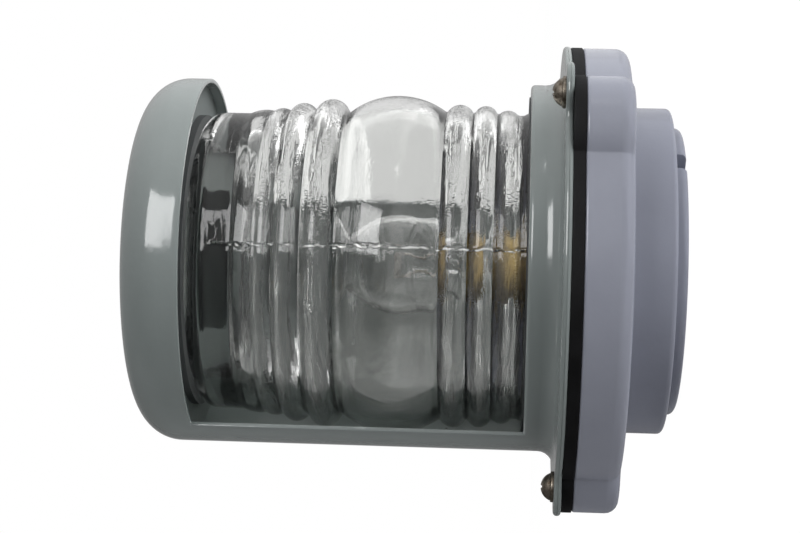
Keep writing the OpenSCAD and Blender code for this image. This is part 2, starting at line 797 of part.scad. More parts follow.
// Lamp
module bulb_outline(inset) {
    neck = neck_r - inset;
    fillet = neck_fillet + inset;
    centre = [neck_r + neck_fillet, neck_fillet_z];
    intersection() {
        translate([0, neck_z]) square([2 * bulb_r, bulge_z + bulb_r - neck_z]);
        union() {
            translate([0, bulge_z]) circle(bulb_r - inset);
            translate([0, neck_z]) square([neck, neck_fillet_z - neck_z + past]);
            difference() {
                polygon([[0, neck_fillet_z], centre, [0, bulge_z]]);
                translate(centre) circle(fillet);
            }
        }
    }
}

module bulb_glass() {
    color(glass) rotate_extrude() difference() {
        bulb_outline(0);
        translate([0, -past]) bulb_outline(bulb_glass_t);
        bulb_outline(bulb_glass_t);
    }
}

module lamp_cap() {
    color(brass) difference() {
        union() {
            disc(lamp_cap_r, lamp_z + insulator_out, lamp_cap_h - insulator_out);
            for (side = [-1, 1]) translate([0, 0, pin_z]) rotate([side * 90, 0, 0])
                cylinder(d = lamp_pin_d, h = lamp_pin_reach);
        }
        disc(lamp_cap_r - lamp_cap_wall, lamp_z - past, lamp_cap_h + 2 * past);
    }
}

module lamp_insulator() {
    rim = lamp_cap_r - lamp_cap_wall - thread_room;
    recess = lamp_contact_t - lamp_contact_out + thread_room;
    color(phenolic) difference() {
        disc(rim, lamp_z, insulator_h);
        for (x = [-contact_x, contact_x])
            translate([x, 0, 0]) disc(contact_d / 2, lamp_z - past, recess + past);
    }
}

module lamp_contacts() {
    color(zinc) for (x = [-contact_x, contact_x]) translate([x, 0, 0])
        disc(contact_d / 2 - thread_room, contact_z, lamp_contact_t);
}

module lamp_stem() {
    flare = neck_r - bulb_glass_t - thread_room;
    color(glass) union() {
        disc(flare, neck_z, stem_flare_h);
        disc(stem_r, neck_z, stem_top - neck_z);
    }
}

module filament_supports() {
    for (side = [-1, 1]) color(steel) tube([
        [side * stem_r / 2, 0, stem_top],
        [side * stem_r / 2, 0, stem_top + support_rise],
        [side * filament_l / 2, 0, bulge_z - filament_r - support_hook],
        [side * filament_l / 2, 0, bulge_z - filament_r - thread_room]
    ], support_r, 6);
}

module filament() {
    color(steel) translate([-filament_l / 2, 0, bulge_z + filament_wire_r]) rotate([0, 90, 0])
        coil("filament", filament_r, filament_wire_r, filament_turns, filament_l);
}

// Hood
module hood_outline(inset) {
    r = hood_r - inset;
    shoulder = cap_shoulder_r - inset;
    crown = cap_crown_r - inset;
    reach = crown * sin(crown_lean);
    translate([0, hood_z - past]) square([r, shoulder_z - hood_z + past]);
    translate([hood_r - cap_shoulder_r, shoulder_z]) circle(shoulder);
    intersection() {
        translate([0, shoulder_z]) square([reach, crown]);
        translate([0, crown_z]) circle(crown, $fn = 360);
    }
}

module collar_fillet_outline() {
    difference() {
        translate([hood_r - past, flange_z - flange_t / 2])
            square([collar_fillet + past, collar_fillet + flange_t / 2]);
        translate([hood_r + collar_fillet, flange_z + collar_fillet]) circle(collar_fillet);
    }
}

// The sheet in section: the body and cap, the hollow above the flange and the collar's turned-in lip
module hood_section() {
    difference() {
        union() {
            intersection() {
                hood_outline(0);
                translate([0, hood_z]) square([2 * hood_r, 4 * hood_r]);
            }
            collar_fillet_outline();
        }
        difference() {
            hood_outline(hood_t);
            translate([collar_hole_r, lip_z]) square([hood_r, lip_t]);
        }
    }
}

module window_cutter() {
    rotate([0, 0, -90 - window_arc / 2]) rotate_extrude(angle = window_arc) union() {
        translate([hood_r / 2, window_z]) square([hood_r, window_h]);
        difference() {
            translate([hood_r - collar_edge, window_z - collar_edge])
                square([collar_edge + past, collar_edge]);
            translate([hood_r - collar_edge, window_z - collar_edge]) circle(collar_edge);
        }
    }
}

module housing_shell() {
    color(hood_paint) difference() {
        union() {
            rotate_extrude() hood_section();
            difference() {
                translate([0, 0, hood_z])
                    lobed_plate(flange_r, bolt_ring, ear_r, ear_fillet, flange_t, 0, ear_angles);
                disc(hood_in_r, hood_z - past, flange_t + 2 * past);
            }
        }
        window_cutter();
        at_ring(bolt_ring, ear_angles) disc(screw_d / 2 + bolt_room, hood_z - past, flange_t + 2 * past);
    }
}

// Lens
module ridge_outline(z, rise, half) {
    r = (half * half + rise * rise) / (2 * rise);
    translate([lens_root_r + rise - r, z]) circle(r);
}

module lens_outline() {
    translate([0, lens_z]) square([lens_r, lens_shoulder_z - lens_z]);
    translate([0, lens_z]) square([lens_root_r, ridged_top - lens_z]);
    translate([0, lens_z]) square([lens_foot_r, lens_foot_top - lens_foot_edge - lens_z]);
    translate([lens_foot_r - lens_foot_edge, lens_foot_top - lens_foot_edge]) circle(lens_foot_edge);
    for (ridge = high_ridges) ridge_outline(lens_shoulder_z - ridge[0], ridge[1], ridge[2]);
    for (ridge = low_ridges) ridge_outline(window_z + ridge[0], ridge[1], ridge[2]);
    translate([bulge_reach - bulge_curve_r, bulge_z]) circle(bulge_curve_r);
}

module lens_end_outline(inset) {
    centre_r = lens_r - lens_shoulder_r;
    square_h = lens_shoulder_r - inset;
    translate([0, lens_shoulder_z - past]) square([centre_r, square_h + past]);
    translate([centre_r, lens_shoulder_z]) circle(lens_shoulder_r - inset);
}

module lens() {
    color(glass) rotate_extrude() difference() {
        union() {
            lens_outline();
            lens_end_outline(0);
        }
        translate([-bulge_reach, lens_z - past]) square([bulge_reach, 2 * window_h]);
        difference() {
            translate([-glass_t, 0]) lens_outline();
            translate([0, lens_shoulder_z]) square([2 * lens_r, lens_shoulder_r]);
        }
        translate([0, lens_z - past]) square([lens_foot_r - glass_t, 2 * past]);
        lens_end_outline(glass_t);
        translate([0, lens_shoulder_z]) square([lens_mouth_r, lens_shoulder_r + past]);
    }
}

module lens_top_seal() {
    color(rubber) ring(lens_r - top_seal_inset, lens_mouth_r, lens_top, top_seal_t);
}

module lens_top_plate() {
    z = lens_top + top_seal_t;
    r = hood_in_r - thread_room;
    color(hood_paint) {
        ring(r, plate_hole_r, z, plate_t);
        ring(r, r - plate_t, z, plate_rim_h);
    }
}

module lens_collar_seal() {
    color(rubber) difference() {
        union() {
            disc(hood_in_r - wall_room, lip_z - collar_seal_h, collar_seal_h);
            disc(collar_hole_r - thread_room, lip_z - past, hood_t + collar_seal_lip + past);
        }
        disc(lens_foot_r + thread_room, lip_z - collar_seal_h - past, 2 * collar_h);
    }
}

module lens_foot_seal() {
    r_in = lens_foot_r - glass_t - foot_seal_over;
    color(rubber) ring(lens_foot_r + foot_seal_over, r_in, lens_z - foot_seal_t, foot_seal_t);
}

module lens_retaining_ring() {
    color(zinc) difference() {
        ring(hood_in_r - wall_room, ring_hole_r, ring_z, plate_t);
        at_ring(ring_screw_ring, lug_angles)
            disc(ring_screw_d / 2 + bolt_room / 2, ring_z - past, plate_t + 2 * past);
    }
}

module retaining_lugs() {
    z = ring_z + plate_t;
    color(zinc) intersection() {
        disc(hood_in_r - thread_room, z, lug_h);
        at_ring(ring_screw_ring, lug_angles) difference() {
            union() {
                disc(lug_d / 2, z, lug_h);
                translate([0, -lug_d / 2, z]) cube([lug_d, lug_d, lug_h]);
            }
            disc(ring_screw_d / 2 + thread_room, z - past, lug_h + 2 * past);
        }
    }
}

module retaining_screws() {
    color(steel) at_ring(ring_screw_ring, lug_angles) translate([0, 0, ring_z]) mirror([0, 0, 1])
        small_screw(ring_screw_d, ring_head_d, ring_head_h, plate_t + lug_h);
}

// Cover screws
module cover_washers() {
    color(steel) at_ring(bolt_ring, ear_angles)
        ring(washer_d / 2, screw_d / 2 + bolt_room, flange_z, washer_t);
}

module cover_screw(angle) {
    color(steel) at_ring(bolt_ring, [angle]) translate([0, 0, head_z]) {
        pan_head(screw_head_d, screw_head_h);
        translate([0, 0, -screw_l]) cylinder(d = screw_d, h = screw_l);
    }
}

module cover_screw_front() {
    cover_screw(ear_angles[0]);
}

module cover_screw_right() {
    cover_screw(ear_angles[1]);
}

module cover_screw_left() {
    cover_screw(ear_angles[2]);
}

base_casting();
flange_gasket();
cover_inserts();
gland_body();
gland_seal();
gland_cap();
holder_bracket();
bracket_screws();
holder_body();
holder_sleeve();
holder_screws();
holder_nuts();
terminal_block();
terminal_screws();
block_screws();
live_lead();
neutral_lead();
contact_left();
contact_right();
contact_spring_left();
contact_spring_right();
bulb_glass();
lamp_cap();
lamp_insulator();
lamp_contacts();
lamp_stem();
filament_supports();
filament();
housing_shell();
lens();
lens_top_seal();
lens_top_plate();
lens_collar_seal();
lens_foot_seal();
lens_retaining_ring();
retaining_lugs();
retaining_screws();
cover_washers();
cover_screw_front();
cover_screw_right();
cover_screw_left();
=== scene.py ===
import math
import bmesh
import bpy
import numpy as np
from mathutils import Matrix, Vector


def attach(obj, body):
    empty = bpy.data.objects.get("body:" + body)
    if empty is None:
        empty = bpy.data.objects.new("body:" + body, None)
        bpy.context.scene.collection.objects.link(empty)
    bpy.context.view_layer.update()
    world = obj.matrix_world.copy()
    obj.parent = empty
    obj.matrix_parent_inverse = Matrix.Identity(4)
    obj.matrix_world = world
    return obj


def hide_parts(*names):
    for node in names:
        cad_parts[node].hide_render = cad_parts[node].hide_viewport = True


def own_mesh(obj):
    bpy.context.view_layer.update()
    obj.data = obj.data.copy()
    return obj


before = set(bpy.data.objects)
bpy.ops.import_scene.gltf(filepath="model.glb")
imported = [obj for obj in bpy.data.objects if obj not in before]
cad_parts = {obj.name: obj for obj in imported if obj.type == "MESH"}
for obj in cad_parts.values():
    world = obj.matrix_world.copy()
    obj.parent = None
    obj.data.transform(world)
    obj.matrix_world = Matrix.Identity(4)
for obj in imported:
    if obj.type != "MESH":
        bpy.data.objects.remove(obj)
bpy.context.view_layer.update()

# Base
# An aluminium casting, sprayed lavender grey: a lobed flange over a round step and a smaller foot.
# Bolts through its floor hold it to the deck, and three brass inserts in the lobes take the cover screws.
mm = 0.001
base_top, base_r = 34.5, 76.5
lobe_ring, lobe_r, lobe_fillet = 64.9, 19.4, 0.8
lobe_turns = (-95.9, 24.1, 144.1)
screw_ring, screw_turns = 77, (-90, 30, 150)


def linear(red, green, blue):
    """A colour chart's red, green and blue, 0 to 255, as a shader takes them."""
    parts = [c / 255 / 12.92 if c < 11 else ((c / 255 + 0.055) / 1.055) ** 2.4 for c in (red, green, blue)]
    return (*parts, 1.0)


def rounded(corners, steps=5, lead=0.25):
    """The points of a closed section through corners (r, z, rounding), all in mm."""
    points = []
    for i, (r, z, rounding) in enumerate(corners):
        here = np.array((r, z), float)
        if not rounding:
            points.append(here)
            continue
        back = np.array(corners[i - 1][:2], float) - here
        on = np.array(corners[(i + 1) % len(corners)][:2], float) - here
        back /= np.linalg.norm(back)
        on /= np.linalg.norm(on)
        half = math.acos(np.clip(back @ on, -1, 1)) / 2
        reach = rounding / math.tan(half)
        middle = here + (back + on) / np.linalg.norm(back + on) * rounding / math.sin(half)
        start = here + back * reach - middle
        end = here + on * reach - middle
        first = math.atan2(start[1], start[0])
        sweep = (math.atan2(end[1], end[0]) - first + math.pi) % (2 * math.pi) - math.pi
        points.append(here + back * (reach + lead))
        for k in range(steps + 1):
            a = first + sweep * k / steps
            points.append(middle + rounding * np.array((math.cos(a), math.sin(a))))
        points.append(here + on * (reach + lead))
    return points


def lobed(turns, r, ring, lobe, hollow, lobe_angles):
    """The radius, at each turn, of a disc with round lobes on a ring and a hollow on each side of a lobe."""
    far = r + hollow
    lean = math.acos((far ** 2 + ring ** 2 - (lobe + hollow) ** 2) / (2 * far * ring))
    hollow_at = far * np.array((math.cos(lean), math.sin(lean)))
    touch = np.array((ring, 0)) + (hollow_at - (ring, 0)) * lobe / (lobe + hollow)
    touch_turn = math.atan2(touch[1], touch[0])
    radius = np.full(len(turns), float(r))
    for angle in lobe_angles:
        off = np.abs((turns - math.radians(angle) + math.pi) % (2 * math.pi) - math.pi)
        on_lobe = off <= touch_turn
        in_hollow = (off > touch_turn) & (off < lean)
        side = ring * np.sin(off[on_lobe])
        radius[on_lobe] = ring * np.cos(off[on_lobe]) + np.sqrt(np.maximum(lobe ** 2 - side ** 2, 0))
        side = far * np.sin(off[in_hollow] - lean)
        radius[in_hollow] = far * np.cos(off[in_hollow] - lean) - np.sqrt(np.maximum(hollow ** 2 - side ** 2, 0))
    return radius


def turns_with(step, fine, centres, reach):
    """Turns round the axis, in radians, set closer together near some of them."""
    turns = set(np.round(np.arange(-200, 160, step), 3))
    for centre in centres:
        turns.update(np.round(np.arange(centre - reach, centre + reach, fine), 3))
    turns = sorted({round((t + 200) % 360 - 200, 3) for t in turns})
    return np.radians([t for i, t in enumerate(turns) if i == 0 or t - turns[i - 1] > 0.3 * fine])


def turned(name, section, turns, outline=None):
    """A piece whose closed section goes round the axis, with its radius from the outline where one is given."""
    rows, across = len(section), len(turns)
    spots = np.empty((rows, across, 3))
    for i, (r, z) in enumerate(section):
        radius = outline(r) if outline else r
        spots[i, :, 0] = radius * np.cos(turns)
        spots[i, :, 1] = radius * np.sin(turns)
        spots[i, :, 2] = z
    return woven(name, spots)


def woven(name, spots, keep=None, extra=()):
    """A piece made of a grid of points in mm that closes on itself both ways, less the faces that aren't kept."""
    rows, across = spots.shape[:2]
    i, k = np.meshgrid(np.arange(rows), np.arange(across), indexing="ij")
    j, m = (i + 1) % rows, (k + 1) % across
    faces = np.stack([i * across + k, i * across + m, j * across + m, j * across + k], axis=-1)
    faces = faces[keep] if keep is not None else faces.reshape(-1, 4)
    mesh = bpy.data.meshes.new(name)
    mesh.from_pydata((spots.reshape(-1, 3) * mm).tolist(), [], faces.tolist() + [list(f) for f in extra])
    mesh.update()
    piece = bpy.data.objects.new(name, mesh)
    bpy.context.scene.collection.objects.link(piece)
    return piece


def settle(piece):
    """Makes what a piece's modifiers give into its own plain mesh."""
    rough = piece.data
    done = piece.evaluated_get(bpy.context.evaluated_depsgraph_get())
    mesh = bpy.data.meshes.new_from_object(done)
    piece.modifiers.clear()
    piece.data = mesh
    bpy.data.meshes.remove(rough)


def cut_with(piece, shape):
    """Takes a closed shape out of a piece, and the shape away."""
    tool = bpy.data.objects.new(shape.name, shape)
    bpy.context.scene.collection.objects.link(tool)
    step = piece.modifiers.new("cut", "BOOLEAN")
    step.operation, step.solver, step.object = "DIFFERENCE", "EXACT", tool
    settle(piece)
    bpy.data.objects.remove(tool)
    bpy.data.meshes.remove(shape)


def drill(piece, holes, slots=()):
    """Cuts holes (x, y, radius, low, high) and square slots (low corner, high corner), in mm."""
    spots, faces = [], []
    for x, y, r, low, high in holes:
        n = 40
        at = len(spots)
        ring = [(x + r * math.cos(2 * math.pi * k / n), y + r * math.sin(2 * math.pi * k / n)) for k in range(n)]
        spots += [(*spot, z) for z in (low, high) for spot in ring]
        faces += [(at + k, at + (k + 1) % n, at + n + (k + 1) % n, at + n + k) for k in range(n)]
        faces += [tuple(at + k for k in reversed(range(n))), tuple(at + n + k for k in range(n))]
    for low, high in slots:
        at = len(spots)
        spots += [(x, y, z) for z in (low[2], high[2]) for x, y in
                  ((low[0], low[1]), (high[0], low[1]), (high[0], high[1]), (low[0], high[1]))]
        faces += [tuple(at + v for v in f) for f in
                  ((3, 2, 1, 0), (4, 5, 6, 7), (0, 1, 5, 4), (1, 2, 6, 5), (2, 3, 7, 6), (3, 0, 4, 7))]
    bit = bpy.data.meshes.new("drill")
    bit.from_pydata((np.array(spots) * mm).tolist(), [], faces)
    cut_with(piece, bit)


def smooth(piece, crease=40):
    """Shades a piece smooth between its sharp edges."""
    piece.data.polygons.foreach_set("use_smooth", [True] * len(piece.data.polygons))
    piece.data.set_sharp_from_angle(angle=math.radians(crease))


def coat(piece, material, *nodes, body="base", slot=None):
    """Gives a piece its finish and its body, and puts it in the place of the plain solids that it stands for."""
    piece.data.materials.clear()
    piece.data.materials.append(material)
    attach(piece, body)
    if nodes:
        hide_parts(*nodes)


def node_adder(tree):
    """A function that adds a node to a tree: settings named in_ fill or join its inputs, the rest are its own."""
    def add(kind, into=None, output=0, **settings):
        node = tree.nodes.new(kind)
        for key, value in settings.items():
            if not key.startswith("in_"):
                setattr(node, key, value)
                continue
            label = key[3:]
            socket = node.inputs[int(label) if label.isdigit() else label.replace("_", " ")]
            if isinstance(value, bpy.types.NodeSocket):
                tree.links.new(value, socket)
            else:
                socket.default_value = value
        if into is not None:
            tree.links.new(node.outputs[output], into)
        return node
    return add


def finish(name):
    """An empty material, its shader and the means to add and join nodes in it."""
    material = bpy.data.materials.new(name)
    material.use_nodes = True
    tree = material.node_tree
    return material, tree.nodes["Principled BSDF"], node_adder(tree)


def group(name, inputs, outputs):
    """An empty node group with named inputs (name, value) and outputs (name, kind)."""
    tree = bpy.data.node_groups.new(name, "ShaderNodeTree")
    for label, value in inputs:
        kind = "NodeSocketColor" if isinstance(value, tuple) else "NodeSocketFloat"
        tree.interface.new_socket(label, in_out="INPUT", socket_type=kind).default_value = value
    for label, kind in outputs:
        tree.interface.new_socket(label, in_out="OUTPUT", socket_type=kind)
    given = tree.nodes.new("NodeGroupInput")
    result = tree.nodes.new("NodeGroupOutput")
    return tree, given, result, node_adder(tree)


def paint_film():
    """Sprayed paint: orange peel and fine grain in its height, slow clouds in its shade, and trapped specks."""
    tree, given, result, add = group(
        "sprayed paint film",
        [("Peel Size", 2.5), ("Cloud Size", 40.0), ("Speck Size", 5.0), ("Speck Share", 0.1)],
        [("Height", "NodeSocketFloat"), ("Cloud", "NodeSocketFloat"), ("Specks", "NodeSocketFloat")])
    place = add("ShaderNodeTexCoord").outputs["Object"]
    scale = {}
    for name in ("Peel Size", "Cloud Size", "Speck Size"):
        scale[name] = add("ShaderNodeMath", operation="DIVIDE", in_0=1000.0, in_1=given.outputs[name]).outputs[0]
    peel = add("ShaderNodeTexNoise", in_Vector=place, in_Scale=scale["Peel Size"], in_Detail=1.0)
    grain = add("ShaderNodeTexNoise", in_Vector=place, in_Scale=1900.0, in_Detail=2.0)
    height = add("ShaderNodeMath", operation="MULTIPLY_ADD", in_0=grain.outputs[0], in_1=0.22, in_2=peel.outputs[0])
    cloud = add("ShaderNodeTexNoise", in_Vector=place, in_Scale=scale["Cloud Size"], in_Detail=4.0, in_Roughness=0.6)
    cells = add("ShaderNodeTexVoronoi", in_Vector=place, in_Scale=scale["Speck Size"])
    lot = add("ShaderNodeSeparateColor", in_Color=cells.outputs["Color"])
    chosen = add("ShaderNodeMath", operation="LESS_THAN", in_0=lot.outputs[0], in_1=given.outputs["Speck Share"])
    dot = add("ShaderNodeMapRange", in_Value=cells.outputs["Distance"], in_1=0.05, in_2=0.12, in_3=1.0, in_4=0.0)
    specks = add("ShaderNodeMath", operation="MULTIPLY", in_0=chosen.outputs[0], in_1=dot.outputs[0])
    for name, node in (("Height", height), ("Cloud", cloud), ("Specks", specks)):
        tree.links.new(node.outputs[0], result.inputs[name])
    return tree


sprayed = paint_film()


def paint(name, light, dark, speck, peel_size, cloud_size, bump, gloss, coat_share):
    """Sprayed and stoved paint in two close shades, with trapped specks and an orange-peel skin."""
    material, shader, add = finish(name)
    shader.inputs["Coat Weight"].default_value = coat_share
    shader.inputs["Coat Roughness"].default_value = 0.06
    film = add("ShaderNodeGroup", node_tree=sprayed, in_Peel_Size=peel_size, in_Cloud_Size=cloud_size)
    shade = add("ShaderNodeMapRange", in_Value=film.outputs["Cloud"], in_1=0.34, in_2=0.66)
    tone = add("ShaderNodeMix", data_type="RGBA", in_0=shade.outputs[0], in_6=dark, in_7=light)
    add("ShaderNodeMix", shader.inputs["Base Color"], 2, data_type="RGBA", in_0=film.outputs["Specks"],
        in_6=tone.outputs[2], in_7=speck)
    add("ShaderNodeMapRange", shader.inputs["Roughness"], in_Value=film.outputs["Cloud"], in_1=0.3, in_2=0.7,
        in_3=gloss - 0.05, in_4=gloss + 0.06)
    add("ShaderNodeBump", shader.inputs["Normal"], in_Height=film.outputs["Height"], in_Strength=1.0,
        in_Distance=bump * mm)
    return material


base_paint = paint("lavender grey paint", linear(157, 160, 173), linear(152, 155, 168), linear(96, 96, 98),
                   1.6, 30.0, 0.03, 0.2, 0.2)
flange_turns = turns_with(1.5, 0.3, lobe_turns, 16)
base_section = rounded([
    (8.05, 0, 0), (49.7, 0, 2.3), (49.7, 4, 0.5), (56.4, 4, 1.6), (56.4, 18.8, 1.3), (base_r, 18.8, 4.5),
    (base_r, base_top, 0.9), (60, base_top, 0.6), (60, 22, 0.6), (49, 22, 0.8), (49, 8, 2), (8.05, 8, 0)])


def base_outline(r, edge=base_r):
    """The lobed outline that lies as far inside the base's edge as a circle of this radius."""
    if r <= 70:
        return r
    grow = edge - base_r
    return lobed(flange_turns, r, lobe_ring, lobe_r + grow - edge + r, lobe_fillet + edge - r, lobe_turns)


base = turned("base_casting_painted", base_section, flange_turns, base_outline)


def on_ring(radius, angles):
    """Points round the axis at a radius."""
    return [(radius * math.cos(math.radians(a)), radius * math.sin(math.radians(a))) for a in angles]


drill(base, [(x, y, 3.3, -1, 9) for x, y in on_ring(38, screw_turns)]
      + [(x, y, 4.05, 21.5, 36) for x, y in on_ring(screw_ring, screw_turns)]
      + [(x, 0, 2.05, 4.6, 9) for x in (-34, 34)] + [(x, 31, 1.55, 4.9, 9) for x in (-16, 16)],
      [((-3.5, -51, -1), (3.5, -43.7, 4))])
smooth(base, 32)
coat(base, base_paint, "base_casting", slot="base_paint")

# Flange gasket
# A ring of black rubber sheet, cut to the base's outline and squeezed by the cover until its edge bulges a little.
# It has a clear hole in the middle and three holes for the cover screws.
rubber, shader, add = finish("black rubber")
shader.inputs["Specular IOR Level"].default_value = 0.22
place = add("ShaderNodeTexCoord").outputs["Object"]
bloom = add("ShaderNodeTexNoise", in_Vector=place, in_Scale=90.0, in_Detail=5.0)
shade = add("ShaderNodeMapRange", in_Value=bloom.outputs[0], in_1=0.35, in_2=0.7)
add("ShaderNodeMix", shader.inputs["Base Color"], 2, data_type="RGBA", in_0=shade.outputs[0],
    in_6=linear(10, 10, 11), in_7=linear(21, 21, 23))
add("ShaderNodeMapRange", shader.inputs["Roughness"], in_Value=bloom.outputs[0], in_3=0.5, in_4=0.75)
pores = add("ShaderNodeTexNoise", in_Vector=place, in_Scale=1300.0, in_Detail=2.0)
add("ShaderNodeBump", shader.inputs["Normal"], in_Height=pores.outputs[0], in_Strength=1.0, in_Distance=0.06 * mm)
gasket_top, gasket_r = 38.4, 76.7
gasket_section = rounded([(65, base_top, 0.4), (gasket_r, base_top, 0.4), (gasket_r, gasket_top, 0.4),
                          (65, gasket_top, 0.4)])
gasket = turned("flange_gasket_rubber", gasket_section, flange_turns, lambda r: base_outline(r, gasket_r))
drill(gasket, [(x, y, 2.75, 33, 40) for x, y in on_ring(screw_ring, screw_turns)])
smooth(gasket)
coat(gasket, rubber, "flange_gasket", slot="rubber")

# Brass fittings of the base
# Turned inserts for the cover screws, pressed into the lobes, and the gland that grips the cable in the floor:
# its hexagon body and cap are brass bar, and a rubber ring is squeezed between them.


def worn_metal():
    """Old metal: fine scratches along the turning, dull tarnish in patches, and pits."""
    tree, given, result, add = group(
        "worn metal", [("Grain Size", 0.6), ("Patch Size", 8.0)],
        [("Scratches", "NodeSocketFloat"), ("Tarnish", "NodeSocketFloat"), ("Pits", "NodeSocketFloat")])
    place = add("ShaderNodeTexCoord").outputs["Object"]
    grain = add("ShaderNodeMath", operation="DIVIDE", in_0=1000.0, in_1=given.outputs["Grain Size"])
    patch = add("ShaderNodeMath", operation="DIVIDE", in_0=1000.0, in_1=given.outputs["Patch Size"])
    flat = add("ShaderNodeMapping", in_Vector=place, in_Scale=(0.12, 0.12, 1.0))
    scratches = add("ShaderNodeTexNoise", in_Vector=flat.outputs[0], in_Scale=grain.outputs[0], in_Detail=3.0)
    spread = add("ShaderNodeTexNoise", in_Vector=place, in_Scale=patch.outputs[0], in_Detail=5.0, in_Roughness=0.65)
    tarnish = add("ShaderNodeMapRange", in_Value=spread.outputs[0], in_1=0.4, in_2=0.66)
    cells = add("ShaderNodeTexVoronoi", in_Vector=place, in_Scale=grain.outputs[0])
    pits = add("ShaderNodeMapRange", in_Value=cells.outputs["Distance"], in_1=0.0, in_2=0.3, in_3=1.0, in_4=0.0)
    for name, node in (("Scratches", scratches), ("Tarnish", tarnish), ("Pits", pits)):
        tree.links.new(node.outputs[0], result.inputs[name])
    return tree


worn = worn_metal()


def metal(name, bright, tarnished, grain, patch, polish, bump):
    """Bare or plated metal with scratches, tarnish and pits."""
    material, shader, add = finish(name)
    shader.inputs["Metallic"].default_value = 1.0
    age = add("ShaderNodeGroup", node_tree=worn, in_Grain_Size=grain, in_Patch_Size=patch)
    add("ShaderNodeMix", shader.inputs["Base Color"], 2, data_type="RGBA", in_0=age.outputs["Tarnish"],
        in_6=bright, in_7=tarnished)
    dull = add("ShaderNodeMath", operation="MULTIPLY_ADD", in_0=age.outputs["Tarnish"], in_1=0.22, in_2=polish)
    add("ShaderNodeMath", shader.inputs["Roughness"], operation="MULTIPLY_ADD", in_0=age.outputs["Scratches"],
        in_1=0.16, in_2=dull.outputs[0])
    skin = add("ShaderNodeMath", operation="SUBTRACT", in_0=age.outputs["Scratches"], in_1=age.outputs["Pits"])
    add("ShaderNodeBump", shader.inputs["Normal"], in_Height=skin.outputs[0], in_Strength=1.0, in_Distance=bump * mm)
    return material


def dress(material, *nodes):
    """Gives plain solids whose shape is right their real finish."""
    for node in nodes:
        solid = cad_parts[node]
        for spot in solid.material_slots:
            spot.material = material


brass = metal("worn brass", linear(172, 148, 96), linear(104, 90, 58), 0.5, 9.0, 0.22, 0.012)
dress(brass, "cover_inserts", "gland_body", "gland_cap")
dress(rubber, "gland_seal")

# Bracket and lamp holder
# A bridge of zinc-plated strip is screwed to the floor, and carries a glazed porcelain body.
# Screws and nuts hold a spun brass sleeve on it, whose slots take the lamp's two pins.
zinc = metal("zinc plate", linear(196, 198, 200), linear(158, 160, 163), 0.8, 6.0, 0.3, 0.01)
steel = metal("dull steel", linear(178, 174, 168), linear(122, 114, 103), 0.5, 4.0, 0.28, 0.015)


def mottled(name, dark, light, scale, detail, glossy, dull, bump):
    """A finish in two close shades, whose gloss and skin follow the same mottling."""
    material, shader, add = finish(name)
    place = add("ShaderNodeTexCoord").outputs["Object"]
    mottle = add("ShaderNodeTexNoise", in_Vector=place, in_Scale=scale, in_Detail=detail).outputs[0]
    add("ShaderNodeMix", shader.inputs["Base Color"], 2, data_type="RGBA", in_0=mottle, in_6=dark, in_7=light)
    add("ShaderNodeMapRange", shader.inputs["Roughness"], in_Value=mottle, in_3=glossy, in_4=dull)
    add("ShaderNodeBump", shader.inputs["Normal"], in_Height=mottle, in_Strength=1.0, in_Distance=bump * mm)
    return material


glaze = mottled("glazed porcelain", linear(224, 218, 204), linear(238, 234, 224), 160.0, 3.0, 0.12, 0.24, 0.06)
dress(zinc, "holder_bracket")
dress(steel, "bracket_screws", "holder_screws", "holder_nuts")
dress(glaze, "holder_body")
dress(brass, "holder_sleeve")

# Terminal block and leads
# A pressed block of brown phenolic on the floor, with brass clamp screws and two fixing screws.
# Two insulated leads climb from it to the holder, and each bends once where it leaves its clamp.
phenolic = mottled("brown phenolic", linear(46, 34, 28), linear(74, 56, 46), 900.0, 4.0, 0.34, 0.52, 0.03)
dress(phenolic, "terminal_block")
dress(brass, "terminal_screws")
dress(steel, "block_screws")


def nodes_tree(name, inputs):
    """An empty geometry tree with named inputs (name, kind, value) and the means to add nodes to it."""
    tree = bpy.data.node_groups.new(name, "GeometryNodeTree")
    tree.interface.new_socket("Geometry", in_out="INPUT", socket_type="NodeSocketGeometry")
    for label, kind, value in inputs:
        socket = tree.interface.new_socket(label, in_out="INPUT", socket_type=kind)
        if value is not None:
            socket.default_value = value
    tree.interface.new_socket("Geometry", in_out="OUTPUT", socket_type="NodeSocketGeometry")
    given = tree.nodes.new("NodeGroupInput")
    result = tree.nodes.new("NodeGroupOutput")
    return tree, given, result, node_adder(tree)


def run_tree(piece, tree, **values):
    """Runs a geometry tree on a piece with its inputs set, and leaves a plain mesh at the origin."""
    step = piece.modifiers.new(tree.name, "NODES")
    step.node_group = tree
    for socket in tree.interface.items_tree:
        label = socket.name.replace(" ", "_")
        if socket.in_out == "INPUT" and label in values:
            step[socket.identifier] = values[label]
    rough = piece.data
    done = piece.evaluated_get(bpy.context.evaluated_depsgraph_get())
    mesh = bpy.data.meshes.new_from_object(done)
    name = piece.name
    bpy.data.objects.remove(piece)
    made = bpy.data.objects.new(name, mesh)
    made.name = name
    bpy.context.scene.collection.objects.link(made)
    if isinstance(rough, bpy.types.Mesh):
        bpy.data.meshes.remove(rough)
    else:
        bpy.data.curves.remove(rough)
    return made


